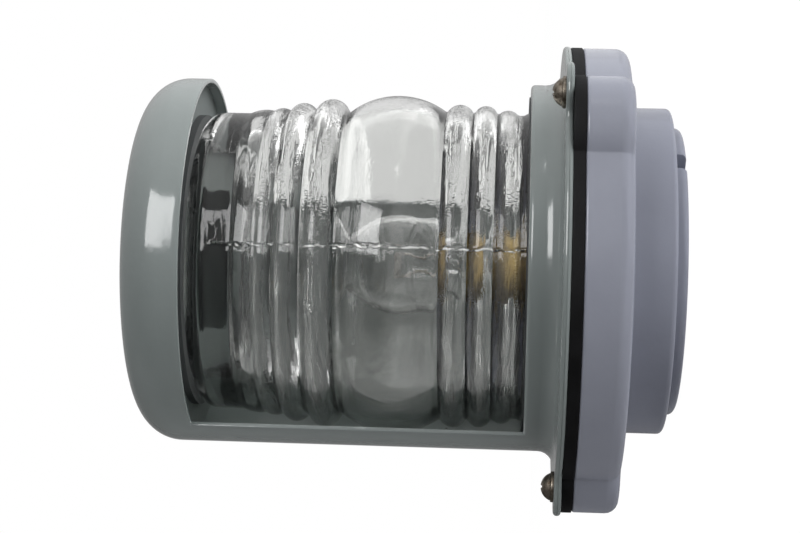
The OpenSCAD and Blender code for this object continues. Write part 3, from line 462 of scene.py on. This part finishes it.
def wire_tree():
    """A round wire of one thickness that follows a route, smoothed at its bends, with closed ends."""
    tree, given, result, add = nodes_tree("wire along a route", [
        ("Radius", "NodeSocketFloat", 0.001), ("Spacing", "NodeSocketFloat", 0.0005), ("Sides", "NodeSocketInt", 14),
        ("Finish", "NodeSocketMaterial", None)])
    evenly = add("GeometryNodeResampleCurve", mode="LENGTH", in_Curve=given.outputs["Geometry"],
                 in_Length=given.outputs["Spacing"])
    round_wire = add("GeometryNodeCurvePrimitiveCircle", in_Resolution=given.outputs["Sides"],
                     in_Radius=given.outputs["Radius"])
    swept = add("GeometryNodeCurveToMesh", in_Curve=evenly.outputs[0], in_Profile_Curve=round_wire.outputs[0],
                in_Fill_Caps=True)
    plain = add("GeometryNodeRealizeInstances", in_Geometry=swept.outputs[0])
    done = add("GeometryNodeSetMaterial", in_Geometry=plain.outputs[0], in_Material=given.outputs["Finish"])
    tree.links.new(done.outputs[0], result.inputs[0])
    return tree


wires = wire_tree()


def wire(name, route, radius, material, *nodes, body="base", slot=None, spacing=0.5, sides=14, curved=True):
    """A wire through the points of its route, in mm."""
    curve = bpy.data.curves.new(name, "CURVE")
    curve.dimensions = "3D"
    spline = curve.splines.new("BEZIER" if curved else "POLY")
    spots = spline.bezier_points if curved else spline.points
    spots.add(len(route) - 1)
    for spot, at in zip(spots, route):
        at = [v * mm for v in at]
        if curved:
            spot.co = at
            spot.handle_left_type = spot.handle_right_type = "AUTO"
        else:
            spot.co = (*at, 1.0)
    piece = bpy.data.objects.new(name, curve)
    bpy.context.scene.collection.objects.link(piece)
    piece = run_tree(piece, wires, Radius=radius * mm, Spacing=spacing * mm, Sides=sides, Finish=material)
    smooth(piece, 50)
    coat(piece, material, *nodes, body=body, slot=slot)
    return piece


live_cover = mottled("red-brown insulation", linear(104, 38, 30), linear(142, 58, 46), 420.0, 4.0, 0.35, 0.6, 0.04)
neutral_cover = mottled("blue insulation", linear(38, 48, 88), linear(58, 72, 122), 420.0, 4.0, 0.35, 0.6, 0.04)
lead_route = [(7, 29.5, 13), (7, 24.5, 13), (7, 22, 14), (7, 21, 17), (5.5, 21, 29), (4, 21, 33), (4, 20, 34.7),
              (4, 17.5, 35), (4, 11, 35)]
wire("live_lead_wire", lead_route, 1.2, live_cover, "live_lead", slot="live_insulation")
wire("neutral_lead_wire", [(-x, y, z) for x, y, z in lead_route], 1.2, neutral_cover, "neutral_lead",
     slot="neutral_insulation")

# Spring contacts
# Two brass plungers in the porcelain, each pressed against the lamp by a small coil of steel wire below it.
dress(brass, "contact_left", "contact_right")


def coil(at, radius, turns, length, along=(0, 0, 1), per_turn=16):
    """Points of a coil in mm that starts at a point and climbs along Z or X."""
    points = []
    for i in range(turns * per_turn + 1):
        a = 2 * math.pi * i / per_turn
        climb = length * i / (turns * per_turn)
        u, v = radius * math.cos(a), radius * math.sin(a)
        points.append((at[0] + u, at[1] + v, at[2] + climb) if along[2] else (at[0] + climb, at[1] + v, at[2] - u))
    return points


for side, x in (("left", -4), ("right", 4)):
    spring = wire(f"contact_spring_{side}_wire", coil((x, 0, 33.35), 1.8, 4, 5.6), 0.3, steel, f"contact_spring_{side}",
                  slot="steel", spacing=0.35, sides=10, curved=False)
    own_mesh(spring)

# Lamp
# A clear blown bulb in a brass bayonet cap with two pins, a dark insulator and two soft metal contacts below.
# Inside, a glass stem holds two support wires, and a coiled filament hangs between them.


def clear_glass(name, tint):
    """Clear glass that lets a lamp's light through it; its material, shader and means to add nodes."""
    material, shader, add = finish(name)
    shader.inputs["Base Color"].default_value = tint
    shader.inputs["Transmission Weight"].default_value = 1.0
    shader.inputs["IOR"].default_value = 1.5
    tree = material.node_tree
    open_way = add("ShaderNodeBsdfTransparent", in_Color=(0.66, 0.67, 0.66, 1.0))
    rays = add("ShaderNodeLightPath")
    both = add("ShaderNodeMixShader", in_0=rays.outputs["Is Shadow Ray"], in_1=shader.outputs[0],
               in_2=open_way.outputs[0])
    tree.links.new(both.outputs[0], tree.nodes["Material Output"].inputs["Surface"])
    return material, shader, add


bulb_clear, shader, add = clear_glass("blown bulb glass", (0.97, 0.975, 0.97, 1.0))
place = add("ShaderNodeTexCoord").outputs["Object"]
blown = add("ShaderNodeTexNoise", in_Vector=place, in_Scale=70.0, in_Detail=2.0)
add("ShaderNodeMapRange", shader.inputs["Roughness"], in_Value=blown.outputs[0], in_3=0.0, in_4=0.05)
add("ShaderNodeBump", shader.inputs["Normal"], in_Height=blown.outputs[0], in_Strength=1.0, in_Distance=0.2 * mm)
light_height = 97
bulb_r, neck_r, neck_fillet = 17.5, 9.8, 12


def bulb_line(inset, low):
    """The bulb's side in mm, from its neck to its top."""
    fillet_r, round_r = neck_fillet + inset, bulb_r - inset
    fillet_z = light_height - math.sqrt((bulb_r + neck_fillet) ** 2 - (neck_r + neck_fillet) ** 2)
    lean = math.atan2(light_height - fillet_z, neck_r + neck_fillet)
    path = [(neck_r - inset, low + (fillet_z - low) * k / 4) for k in range(4)]
    path += [(neck_r + neck_fillet - fillet_r * math.cos(lean * k / 8), fillet_z + fillet_r * math.sin(lean * k / 8))
             for k in range(8)]
    for k in range(25):
        a = -lean + (math.pi / 2 + lean) * k / 24
        path.append((round_r * math.cos(a), light_height + round_r * math.sin(a)))
    return path


def close_poles(piece):
    """Joins the points that meet on the axis."""
    shape = bmesh.new()
    shape.from_mesh(piece.data)
    bmesh.ops.remove_doubles(shape, verts=shape.verts, dist=1e-6)
    bmesh.ops.dissolve_degenerate(shape, dist=1e-7, edges=shape.edges)
    shape.to_mesh(piece.data)
    shape.free()


bulb_turns = np.radians(np.arange(0, 360, 3.75))
bulb = turned("bulb_glass_blown", bulb_line(0, 58.6) + bulb_line(0.8, 58.6)[::-1], bulb_turns)
close_poles(bulb)
smooth(bulb, 60)
coat(bulb, bulb_clear, "bulb_glass", body="lamp", slot="bulb_glass")
dress(brass, "lamp_cap")
dress(phenolic, "lamp_insulator")
dress(zinc, "lamp_contacts")
dress(bulb_clear, "lamp_stem")
for side in (-1, 1):
    wire(f"filament_support_{'left' if side < 0 else 'right'}",
         [(side * 1.3, 0, 84.9), (side * 1.3, 0, 87), (side * 6, 0, 95), (side * 6, 0, 96.15)], 0.4, steel,
         body="lamp", slot="steel", spacing=0.4, sides=10)
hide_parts("filament_supports")
wire("filament_coil", coil((-6, 0, 97.2), 0.8, 10, 12, along=(1, 0, 0)), 0.2, steel, "filament", body="lamp",
     slot="steel", spacing=0.25, sides=8, curved=False)

# Housing
# Sheet steel spun into a cap and collar in one piece, with the window cut out and the cut edges filed round.
# Three ears on its flange take the cover screws, and it is sprayed with grey-green paint that gathers on the edges.
hood_paint = paint("grey-green paint", linear(141, 149, 148), linear(136, 144, 143), linear(70, 70, 68),
                   2.6, 45.0, 0.05, 0.14, 0.75)
window_low, window_high, window_start, window_end = 51.7, 163.3, -199, 19
hood_turns = turns_with(1.2, 0.45, screw_turns, 14)
window_sides = np.radians([window_start, window_end])
hood_turns = np.array([t for t in hood_turns if abs(t - window_sides).min() > 0.004])
hood_turns = np.sort(np.append(hood_turns, window_sides))
in_window = (hood_turns > math.radians(window_start) + 1e-6) & (hood_turns < math.radians(window_end) - 1e-6)
wall_steps = np.linspace(window_low, window_high, 16)
hood_r, hood_flange_r, sheet = 63.6, 77, 1.5
flange_part = rounded([(64.6, gasket_top, 0.5), (hood_flange_r, gasket_top, 1.1), (hood_flange_r, 41, 1.2),
                       (hood_r, 41, 5.5), (hood_r, 60, 0)], 6)[:-1]
flange_part = [(62.1, 38.9), (62.6, gasket_top)] + [tuple(p) for p in flange_part if p[0] > 62.6]
flange_part = [p for i, p in enumerate(flange_part) if i < 2 or p[0] > 64.2 or p[1] > 40]
edge_arc = [(62.2 + 1.4 * math.cos(a), 50.3 + 1.4 * math.sin(a)) for a in np.radians((0, 18, 36, 54, 72, 90))]
edge_wall = [(hood_r, 50.3 + 1.4 * k / 5) for k in range(6)]
shoulder_turn = math.radians(78.44)


def cap_line(inset):
    """The cap's side, shoulder and crown in mm, from the window's top edge to the axis."""
    path = [(hood_r - inset, 165.6), (hood_r - inset, 168)]
    path += [(49.2 + (14.4 - inset) * math.cos(shoulder_turn * k / 14),
              170.2 + (14.4 - inset) * math.sin(shoulder_turn * k / 14)) for k in range(15)]
    lean = math.pi / 2 - shoulder_turn
    path += [((260 - inset) * math.sin(lean * (1 - k / 12)), -70.42 + (260 - inset) * math.cos(lean * (1 - k / 12)))
             for k in range(1, 13)]
    return path


lip_part = [(62.1, 51.7), (61.6, 51.7), (59.9, 51.7), (59.55, 51.55), (59.4, 51.2), (59.4, 50.7), (59.55, 50.35),
            (59.9, 50.2), (61.4, 50.2), (61.9, 50.05), (62.1, 49.6), (62.1, 45), (62.1, 41)]
outer_wall = [(hood_r, z) for z in wall_steps[1:]]
inner_wall = [(62.1, z) for z in wall_steps[::-1]][:-1]
upper_part = outer_wall + cap_line(0) + cap_line(sheet)[::-1] + inner_wall + lip_part
behind = flange_part + edge_wall + upper_part
in_front = flange_part + edge_arc + upper_part
rows, across = len(behind), len(hood_turns)
edge_row = len(flange_part) + 5
wall_rows = len(outer_wall)
inner_row = edge_row + wall_rows + 2 * len(cap_line(0)) + 1
lip_row = inner_row + wall_rows
shell = np.empty((rows, across, 3))
for i in range(rows):
    for where, path in ((in_window, in_front), (~in_window, behind)):
        r, z = path[i]
        radius, inset = r, hood_flange_r - r
        if inset < 3 and z < 43:
            radius = lobed(hood_turns[where], r, screw_ring, 9.7 - inset, 6 + inset, screw_turns)
        shell[i, where, 0] = radius * np.cos(hood_turns[where])
        shell[i, where, 1] = radius * np.sin(hood_turns[where])
        shell[i, where, 2] = z
kept = np.ones((rows, across), bool)
first, last = [int(np.argmin(abs(hood_turns - math.radians(a)))) for a in (window_start, window_end)]
kept[edge_row:edge_row + wall_rows, first:last] = False
kept[inner_row:inner_row + wall_rows, first:last] = False
cut_faces = []
for k in range(first, last):
    top_out, top_in = (edge_row + wall_rows) * across, inner_row * across
    cut_faces.append((top_out + k, top_in + k, top_in + k + 1, top_out + k + 1))
    low_out, low_in = edge_row * across, lip_row * across
    cut_faces.append((low_out + k, low_out + k + 1, low_in + k + 1, low_in + k))
for n in range(wall_rows):
    a, b = (edge_row + n) * across, (edge_row + n + 1) * across
    c, d = (lip_row - n) * across, (lip_row - n - 1) * across
    cut_faces.append((a + first, b + first, d + first, c + first)[::-1])
    cut_faces.append((a + last, b + last, d + last, c + last))
hood = woven("housing_shell_painted", shell, kept, cut_faces)
close_poles(hood)
weights = hood.data.attributes.new("bevel_weight_edge", "FLOAT", "EDGE")
spots = np.array([v.co for v in hood.data.vertices]) / mm
edge_of = np.array([e.vertices[:] for e in hood.data.edges])
middle = spots[edge_of].mean(axis=1)
turn_of = np.degrees(np.arctan2(spots[:, 1], spots[:, 0]))
at_end = np.min([abs((turn_of - a + 180) % 360 - 180) for a in (window_start, window_end)], axis=0) < 0.01
at_top = abs(spots[:, 2] - window_high) < 0.01
inside = abs((turn_of + 90 + 180) % 360 - 180) < 109.01
in_wall = (spots[:, 2] > window_low - 0.01) & (spots[:, 2] < window_high + 0.01)
span = spots[edge_of[:, 0]] - spots[edge_of[:, 1]]
upright = (at_end & in_wall)[edge_of].all(axis=1) & (abs(span[:, 2]) > 1)
along = (at_top & inside)[edge_of].all(axis=1) & (np.linalg.norm(span, axis=1) > 0.01) \
    & (abs(np.hypot(*spots[edge_of[:, 0], :2].T) - np.hypot(*spots[edge_of[:, 1], :2].T)) < 0.1)
weights.data.foreach_set("value", (upright | along).astype(float))
filed = hood.modifiers.new("filed edges", "BEVEL")
filed.limit_method = "WEIGHT"
filed.width = 0.5 * mm
filed.segments = 3
settle(hood)
drill(hood, [(x, y, 2.75, 37, 43) for x, y in on_ring(screw_ring, screw_turns)])
smooth(hood, 38)
coat(hood, hood_paint, "housing_shell", body="housing", slot="hood_paint")

# Lens
# A pressed glass lens with a bulge at the height of the filament and prism ridges above and below it.
# Its two half moulds have left a seam down each side, and the pressing has left streaks along the ridges.
lens_clear, shader, add = clear_glass("pressed lens glass", (0.76, 0.765, 0.755, 1.0))
place = add("ShaderNodeTexCoord").outputs["Object"]
height_of = add("ShaderNodeSeparateXYZ", in_Vector=place)
from_bulge = add("ShaderNodeMath", operation="SUBTRACT", in_0=height_of.outputs["Z"], in_1=light_height * mm)
far = add("ShaderNodeMath", operation="ABSOLUTE", in_0=from_bulge.outputs[0])
past_bulge = add("ShaderNodeMapRange", in_Value=far.outputs[0], in_1=14 * mm, in_2=20 * mm, in_3=0.1, in_4=1.0)
short_of_end = add("ShaderNodeMapRange", in_Value=far.outputs[0], in_1=43 * mm, in_2=47 * mm, in_3=1.0, in_4=0.08)
on_ridges = add("ShaderNodeMath", operation="MULTIPLY", in_0=past_bulge.outputs[0], in_1=short_of_end.outputs[0])
flat = add("ShaderNodeMapping", in_Vector=place, in_Scale=(1.0, 1.0, 8.0))
streaks = add("ShaderNodeTexNoise", in_Vector=flat.outputs[0], in_Scale=40.0, in_Detail=2.0)
on_ridge = add("ShaderNodeMath", operation="MULTIPLY", in_0=streaks.outputs[0], in_1=on_ridges.outputs[0])
ripple = add("ShaderNodeTexNoise", in_Vector=place, in_Scale=700.0, in_Detail=1.0)
both = add("ShaderNodeMath", operation="MULTIPLY_ADD", in_0=ripple.outputs[0], in_1=0.1, in_2=on_ridge.outputs[0])
patches = add("ShaderNodeTexNoise", in_Vector=flat.outputs[0], in_Scale=60.0, in_Detail=2.0)
pitted = add("ShaderNodeMapRange", in_Value=patches.outputs[0], in_1=0.46, in_2=0.62)
pits = add("ShaderNodeTexNoise", in_Vector=place, in_Scale=1600.0, in_Detail=1.0)
pit_height = add("ShaderNodeMath", operation="MULTIPLY", in_0=pits.outputs[0], in_1=pitted.outputs[0])
pit_height = add("ShaderNodeMath", operation="MULTIPLY", in_0=pit_height.outputs[0], in_1=on_ridges.outputs[0])
skin = add("ShaderNodeMath", operation="MULTIPLY_ADD", in_0=pit_height.outputs[0], in_1=1.2, in_2=both.outputs[0])
drift = add("ShaderNodeTexNoise", in_Vector=place, in_Scale=160.0, in_Detail=2.0)
drift = add("ShaderNodeVectorMath", operation="SCALE", in_0=drift.outputs["Color"], in_Scale=9 * mm)
drift = add("ShaderNodeVectorMath", operation="ADD", in_0=place, in_1=drift.outputs[0])
drawn = add("ShaderNodeMapping", in_Vector=drift.outputs[0], in_Scale=(1.0, 1.0, 3.0))
flow = add("ShaderNodeTexVoronoi", feature="DISTANCE_TO_EDGE", in_Vector=drawn.outputs[0], in_Scale=34.0)
flow_edge = add("ShaderNodeMapRange", in_Value=flow.outputs["Distance"], in_1=0.0, in_2=0.022, in_3=1.0, in_4=0.0)
fades = add("ShaderNodeTexNoise", in_Vector=place, in_Scale=45.0, in_Detail=1.0)
fade = add("ShaderNodeMapRange", in_Value=fades.outputs[0], in_1=0.48, in_2=0.6)
flow_line = add("ShaderNodeMath", operation="MULTIPLY", in_0=flow_edge.outputs[0], in_1=fade.outputs[0])
skin = add("ShaderNodeMath", operation="MULTIPLY_ADD", in_0=flow_line.outputs[0], in_1=0.07, in_2=skin.outputs[0])
add("ShaderNodeBump", shader.inputs["Normal"], in_Height=skin.outputs[0], in_Strength=1.0, in_Distance=0.12 * mm)
haze = add("ShaderNodeTexNoise", in_Vector=place, in_Scale=38.0, in_Detail=5.0)
add("ShaderNodeMapRange", shader.inputs["Roughness"], in_Value=haze.outputs[0], in_1=0.35, in_2=0.75,
    in_3=0.02, in_4=0.09)
ridges = [(143.7, 0.3, 2.6), (137.9, 1, 2.9), (130.5, 2.9, 4.3), (120.5, 4.5, 5.4), (76, 3.4, 4.8), (67, 3.1, 4.1),
          (59.3, 1.7, 3.5)]
heights = np.arange(43.5, 158.01, 0.1)
side = np.where(heights < 137.9, 52.9, 51.85)
side = np.where(heights < 52, 53.7, side)
foot_round = (heights >= 52) & (heights < 54)
side[foot_round] = np.maximum(side[foot_round], 51.7 + np.sqrt(np.maximum(4 - (heights[foot_round] - 52) ** 2, 0)))
for z, rise, half in ridges + [(light_height, None, 27.4)]:
    curve_r = half if rise is None else (half * half + rise * rise) / (2 * rise)
    centre = 58.95 - curve_r if rise is None else 52.9 + rise - curve_r
    side = np.maximum(side, centre + np.sqrt(np.maximum(curve_r ** 2 - (heights - z) ** 2, 0)))


def softened(radii, spread):
    """Radii 0.1 mm apart along the axis, with their creases rounded."""
    reach = int(spread * 40)
    bell = np.exp(-0.5 * (np.arange(-reach, reach + 1) / (spread * 10)) ** 2)
    return np.convolve(np.pad(radii, reach, mode="edge"), bell / bell.sum(), mode="valid")


outside = softened(side, 0.25)
within = softened(side - 4, 3.0) - 0.28 * np.maximum(heights - 145, 0)
outer_line = [(outside[i], heights[i]) for i in range(6, len(heights) - 4, 7)]
inner_line = [(within[i], heights[i]) for i in range(6, len(heights) - 4, 13)]
end_out = [(45.35 + 6.5 * math.cos(a), 158 + 6.5 * math.sin(a)) for a in np.radians(np.arange(0, 91, 11.25))]
end_in = [(42.2 + 2 * math.cos(a), 158.5 + 2 * math.sin(a)) for a in np.radians(np.arange(90, -1, -15))]
lens_section = [(50.1, 43.5), (53.3, 43.5), (53.6, 43.7)] + outer_line + end_out
lens_section += [(42, 164.5), (41.6, 164.2), (41.5, 163.7), (41.5, 161.3), (41.6, 160.8), (41.9, 160.6)] + end_in
lens_section += inner_line[::-1] + [(49.75, 43.7)]
seam_turns = (-131.4, 48.6)
lens_turns = turns_with(1.35, 0.22, seam_turns, 1.4)
rows = len(lens_section)
lens_r, lens_z = np.hsplit(np.array(lens_section), 2)
wave = (0.05 * np.sin(5 * lens_turns + lens_z / 9) + 0.04 * np.sin(11 * lens_turns - lens_z / 5.3)
        + 0.03 * np.sin(23 * lens_turns + lens_z / 3.1))
is_outer = (np.arange(rows) > 3) & (np.arange(rows) < 3 + len(outer_line) - 4)
is_inner = (np.arange(rows) > rows - len(inner_line)) & (np.arange(rows) < rows - 4)
ragged = np.random.default_rng(7).random((rows, 2))
seam_drift = 1.1 * (ragged[:, 1:] - 0.5)
seam_off = np.min([abs((np.degrees(lens_turns) - a + 180) % 360 - 180 + seam_drift) for a in seam_turns], axis=0)
seam = (0.1 + 0.75 * ragged[:, :1] ** 2) * np.exp(-(seam_off / 0.42) ** 2)
lift = np.where(is_outer[:, None], 0.6 * wave + seam, 0) + np.where(is_inner[:, None], 0.6 * wave, 0)
radius = lens_r + lift
lens_spots = np.stack([radius * np.cos(lens_turns), radius * np.sin(lens_turns), lens_z + 0 * radius], axis=-1)
lens = woven("lens_pressed", lens_spots)
smooth(lens, 60)
coat(lens, lens_clear, "lens", body="housing", slot="lens_glass")

# What holds the lens
# Rings of grey rubber bed the glass in the cap and the collar, and a painted plate in the cap backs the upper one.
# A zinc-plated ring below is drawn up by three screws into nuts welded inside the collar.
grey_rubber = mottled("grey rubber", linear(56, 58, 59), linear(84, 87, 88), 110.0, 5.0, 0.5, 0.75, 0.1)
dress(grey_rubber, "lens_top_seal", "lens_collar_seal", "lens_foot_seal")
# The plate's grey-green is darker than the housing's as painted shade inside the cap; only its dullness is the paint's
# own.
shaded_plate_paint = paint("dull cap plate paint with painted shade", linear(122, 129, 128), linear(114, 121, 120), linear(60, 60, 60),
                    2.6, 45.0, 0.05, 0.5, 0.0)
dress(shaded_plate_paint, "lens_top_plate")
dress(zinc, "lens_retaining_ring", "retaining_lugs")
dress(steel, "retaining_screws")

# Cover screws
# Three pan-head steel screws with cross recesses, each on a plain washer on one of the housing's ears.
# They have gone brown with age, and stay in the housing when it comes off.
aged_steel = metal("browned steel", linear(158, 149, 137), linear(92, 80, 68), 0.35, 2.2, 0.2, 0.02)


def ring_of_fasteners():
    """Sets copies of one fastener, made at the axis, round a bolt circle."""
    tree, given, result, add = nodes_tree("fasteners on a bolt circle", [
        ("Circle Radius", "NodeSocketFloat", 0.077), ("First Turn", "NodeSocketFloat", 0.0),
        ("Copies", "NodeSocketInt", 1), ("Own Turn", "NodeSocketFloat", 0.0), ("Finish", "NodeSocketMaterial", None)])
    points = add("GeometryNodePoints", in_Count=given.outputs["Copies"])
    index = add("GeometryNodeInputIndex")
    pitch = add("ShaderNodeMath", operation="DIVIDE", in_0=2 * math.pi, in_1=given.outputs["Copies"])
    turn = add("ShaderNodeMath", operation="MULTIPLY_ADD", in_0=index.outputs[0], in_1=pitch.outputs[0],
               in_2=given.outputs["First Turn"])
    across = add("ShaderNodeMath", operation="COSINE", in_0=turn.outputs[0])
    up = add("ShaderNodeMath", operation="SINE", in_0=turn.outputs[0])
    aim = add("ShaderNodeCombineXYZ", in_X=across.outputs[0], in_Y=up.outputs[0])
    place = add("ShaderNodeVectorMath", operation="SCALE", in_0=aim.outputs[0], in_Scale=given.outputs["Circle Radius"])
    spread = add("GeometryNodeSetPosition", in_Geometry=points.outputs[0], in_Position=place.outputs[0])
    own = add("ShaderNodeCombineXYZ", in_Z=given.outputs["Own Turn"])
    copies = add("GeometryNodeInstanceOnPoints", in_Points=spread.outputs[0], in_Instance=given.outputs["Geometry"],
                 in_Rotation=own.outputs[0])
    plain = add("GeometryNodeRealizeInstances", in_Geometry=copies.outputs[0])
    done = add("GeometryNodeSetMaterial", in_Geometry=plain.outputs[0], in_Material=given.outputs["Finish"])
    tree.links.new(done.outputs[0], result.inputs[0])
    return tree


fasteners = ring_of_fasteners()


def pan_screw(name):
    """A pan head with a tapered cross recess over a threaded shank, at the axis."""
    head = [(2.7, 42), (4.4, 42), (4.58, 42.08), (4.6, 42.25)]
    head += [(4.93 * math.sin(a), 40.37 + 4.93 * math.cos(a)) for a in np.radians(np.linspace(66, 0, 12))]
    turns = np.radians(np.arange(0, 360, 9))
    shank_z = np.arange(25.4, 41.9, 0.1)
    rows = [(0.0, 25.0, 0), (1.9, 25.0, 0)] + [(2.5, z, 1) for z in shank_z] + [(2.5, 42, 0)]
    rows += [(r, z, 0) for r, z in head]
    spots = np.empty((len(rows), len(turns), 3))
    for i, (r, z, threaded) in enumerate(rows):
        phase = (z / 0.8 - turns / (2 * math.pi)) % 1
        radius = r - threaded * 0.4 * abs(2 * phase - 1) * min(1, max(0, (40.6 - z) / 1.5))
        spots[i, :, 0] = radius * np.cos(turns)
        spots[i, :, 1] = radius * np.sin(turns)
        spots[i, :, 2] = z
    piece = woven(name, spots)
    close_poles(piece)
    return piece


def cut_cross(piece):
    """Presses the cross recess into a head."""
    sides = ((3, 2, 1, 0), (4, 5, 6, 7), (0, 1, 5, 4), (1, 2, 6, 5), (2, 3, 7, 6), (3, 0, 4, 7))
    for long_x in (True, False):
        spots = []
        for z, grow in ((43.5, 0.55), (45.6, 1.0)):
            a, b = 2.7 * grow, 0.62 * (0.6 + 0.4 * grow)
            a, b = (a, b) if long_x else (b, a)
            spots += [(-a, -b, z), (a, -b, z), (a, b, z), (-a, b, z)]
        punch = bpy.data.meshes.new("punch")
        punch.from_pydata((np.array(spots) * mm).tolist(), [], sides)
        cut_with(piece, punch)


for side, turn, own in (("front", -90, 0.5), ("right", 30, 0.2), ("left", 150, 1.0)):
    screw = pan_screw(f"cover_screw_{side}_steel")
    cut_cross(screw)
    screw = run_tree(screw, fasteners, Circle_Radius=screw_ring * mm, First_Turn=math.radians(turn), Copies=1,
                     Own_Turn=own, Finish=aged_steel)
    smooth(screw, 35)
    coat(screw, aged_steel, f"cover_screw_{side}", body=f"cover_screw_{side}", slot="steel")
washer_section = rounded([(2.75, 41, 0.15), (5.2, 41, 0.15), (5.2, 42, 0.3), (2.75, 42, 0.15)], 3, 0.08)
washer = turned("cover_washers_steel", washer_section, np.radians(np.arange(0, 360, 6)))
washer = run_tree(washer, fasteners, Circle_Radius=screw_ring * mm, First_Turn=math.radians(screw_turns[0]), Copies=3,
                  Own_Turn=0.0, Finish=aged_steel)
smooth(washer, 35)
coat(washer, aged_steel, "cover_washers", body="housing", slot="steel")

# Studio
# A pale floor under the base and white all round for the camera, which looks at the light turned on its side.
# Large softboxes above and to the right light it, one at the left gives the highlight, and three low ones fill in.
scene = bpy.context.scene
scene.view_settings.view_transform = "Standard"
floor_mesh = bpy.data.meshes.new("floor")
floor_mesh.from_pydata([(-3, -3, 0), (3, -3, 0), (3, 3, 0), (-3, 3, 0)], [], [(0, 1, 2, 3)])
floor = bpy.data.objects.new("floor", floor_mesh)
scene.collection.objects.link(floor)
pale, shader, add = finish("pale floor")
tree = pale.node_tree
shader.inputs["Base Color"].default_value = (0.82, 0.82, 0.82, 1)
shader.inputs["Roughness"].default_value = 0.9
rays = add("ShaderNodeLightPath")
seen = add("ShaderNodeMath", operation="MAXIMUM", in_0=rays.outputs["Is Camera Ray"],
           in_1=rays.outputs["Is Transmission Ray"])
place = add("ShaderNodeTexCoord").outputs["Object"]
# What glossy rays see on the floor is a painted pool of light: it glows bright on the side the light comes from and dim
# on the other.
lit_side = add("ShaderNodeVectorMath", operation="DOT_PRODUCT", in_0=place, in_1=(0.678, -0.735, 0))
lit = add("ShaderNodeMapRange", in_Value=lit_side.outputs["Value"], in_1=-0.1, in_2=0.25, in_3=0.12, in_4=0.7)
mirrored = add("ShaderNodeMath", operation="MULTIPLY", in_0=rays.outputs["Is Glossy Ray"], in_1=lit.outputs[0])
share = add("ShaderNodeMath", operation="MULTIPLY_ADD", in_0=seen.outputs[0], in_1=0.92,
            in_2=rays.outputs["Is Glossy Ray"])
glow = add("ShaderNodeMath", operation="MULTIPLY_ADD", in_0=seen.outputs[0], in_1=1.08, in_2=mirrored.outputs[0])
white = add("ShaderNodeEmission", in_Color=(1, 1, 1, 1), in_Strength=glow.outputs[0])
both = add("ShaderNodeMixShader", in_0=share.outputs[0], in_1=shader.outputs[0], in_2=white.outputs[0])
tree.links.new(both.outputs[0], tree.nodes["Material Output"].inputs["Surface"])
floor_mesh.materials.append(pale)
floor.visible_shadow = False

across = Vector((0, 0, -1))
facing = math.radians(47.3)
upward = Vector((math.cos(facing), -math.sin(facing), 0))
toward = Vector((-math.sin(facing), -math.cos(facing), 0))
middle = Vector((0, 0, 0.095))
world = bpy.data.worlds.new("studio")
scene.world = world
world.use_nodes = True
sky = world.node_tree.nodes["Background"]
sky.inputs["Color"].default_value = (1, 1, 1, 1)
add = node_adder(world.node_tree)
rays = add("ShaderNodeLightPath").outputs
straight = add("ShaderNodeMath", operation="LESS_THAN", in_0=rays["Diffuse Depth"], in_1=0.5)
seen = add("ShaderNodeMath", operation="MAXIMUM", in_0=rays["Is Camera Ray"], in_1=rays["Is Transmission Ray"])
aim = add("ShaderNodeTexCoord").outputs["Generated"]
rise = add("ShaderNodeVectorMath", operation="DOT_PRODUCT", in_0=aim, in_1=upward)
shade = add("ShaderNodeMapRange", in_Value=rise.outputs["Value"], in_1=-0.4, in_2=0.9, in_3=0.12, in_4=0.75)
gloss = add("ShaderNodeMath", operation="MULTIPLY", in_0=rays["Is Glossy Ray"], in_1=shade.outputs[0])
white = add("ShaderNodeMath", operation="MAXIMUM", in_0=seen.outputs[0], in_1=gloss.outputs[0])
white = add("ShaderNodeMath", operation="MULTIPLY", in_0=white.outputs[0], in_1=straight.outputs[0])
add("ShaderNodeMath", sky.inputs["Strength"], operation="MAXIMUM", in_0=white.outputs[0], in_1=0.03)


def softbox(name, right, up, near, wide, high, watts, mirrored=True, lights=True):
    """A softbox at a place seen from the camera, in metres from the object's middle, facing the object."""
    light = bpy.data.lights.new(name, "AREA")
    light.shape = "RECTANGLE"
    light.size, light.size_y = wide, high
    light.energy = watts
    lamp = bpy.data.objects.new(name, light)
    away = across * right + upward * up + toward * near
    lamp.location = middle + away
    aim = away.normalized()
    sideways = upward.cross(aim).normalized() if abs(upward.dot(aim)) < 0.98 else across
    turn = Matrix((sideways, aim.cross(sideways), aim)).transposed()
    lamp.rotation_euler = turn.to_euler()
    lamp.visible_camera = False
    lamp.visible_glossy = mirrored
    lamp.visible_diffuse = lights
    scene.collection.objects.link(lamp)


softbox("softbox_left", -0.36, 0.28, 0.64, 0.4, 0.42, 1.8)
softbox("softbox_left_glint", -0.37, 0.288, 0.658, 0.41, 0.43, 1.3, lights=False)
softbox("softbox_right", 0.5, 0.7, 0.3, 0.8, 0.8, 6.8)
softbox("softbox_over", 0.15, 0.78, 0.0, 1.8, 1.4, 10.0, mirrored=False)
softbox("bounce_right", 0.62, -0.3, 0.25, 0.6, 0.6, 1.6, mirrored=False)
softbox("bounce_left", -0.6, -0.55, -0.1, 0.5, 0.6, 1.8, mirrored=False)
softbox("bounce_behind", 0.15, -0.56, -0.6, 1.0, 0.5, 3.2, mirrored=False)

eye = bpy.data.cameras.new("camera")
eye.sensor_fit = "HORIZONTAL"
eye.sensor_width = 36
eye.lens = 1837 / 800 * 36
eye.clip_start, eye.clip_end = 0.01, 50
camera = bpy.data.objects.new("camera", eye)
scene.collection.objects.link(camera)
picture = Matrix((across, upward, toward)).to_4x4()
yawed = Matrix.Rotation(math.radians(-3.49), 4, "Y")
rolled = Matrix.Rotation(math.radians(-1.48), 4, "Z")
camera.matrix_world = (Matrix.Translation((0.0958, -0.0018, -0.639)) @ rolled @ yawed @ picture).inverted()
scene.camera = camera
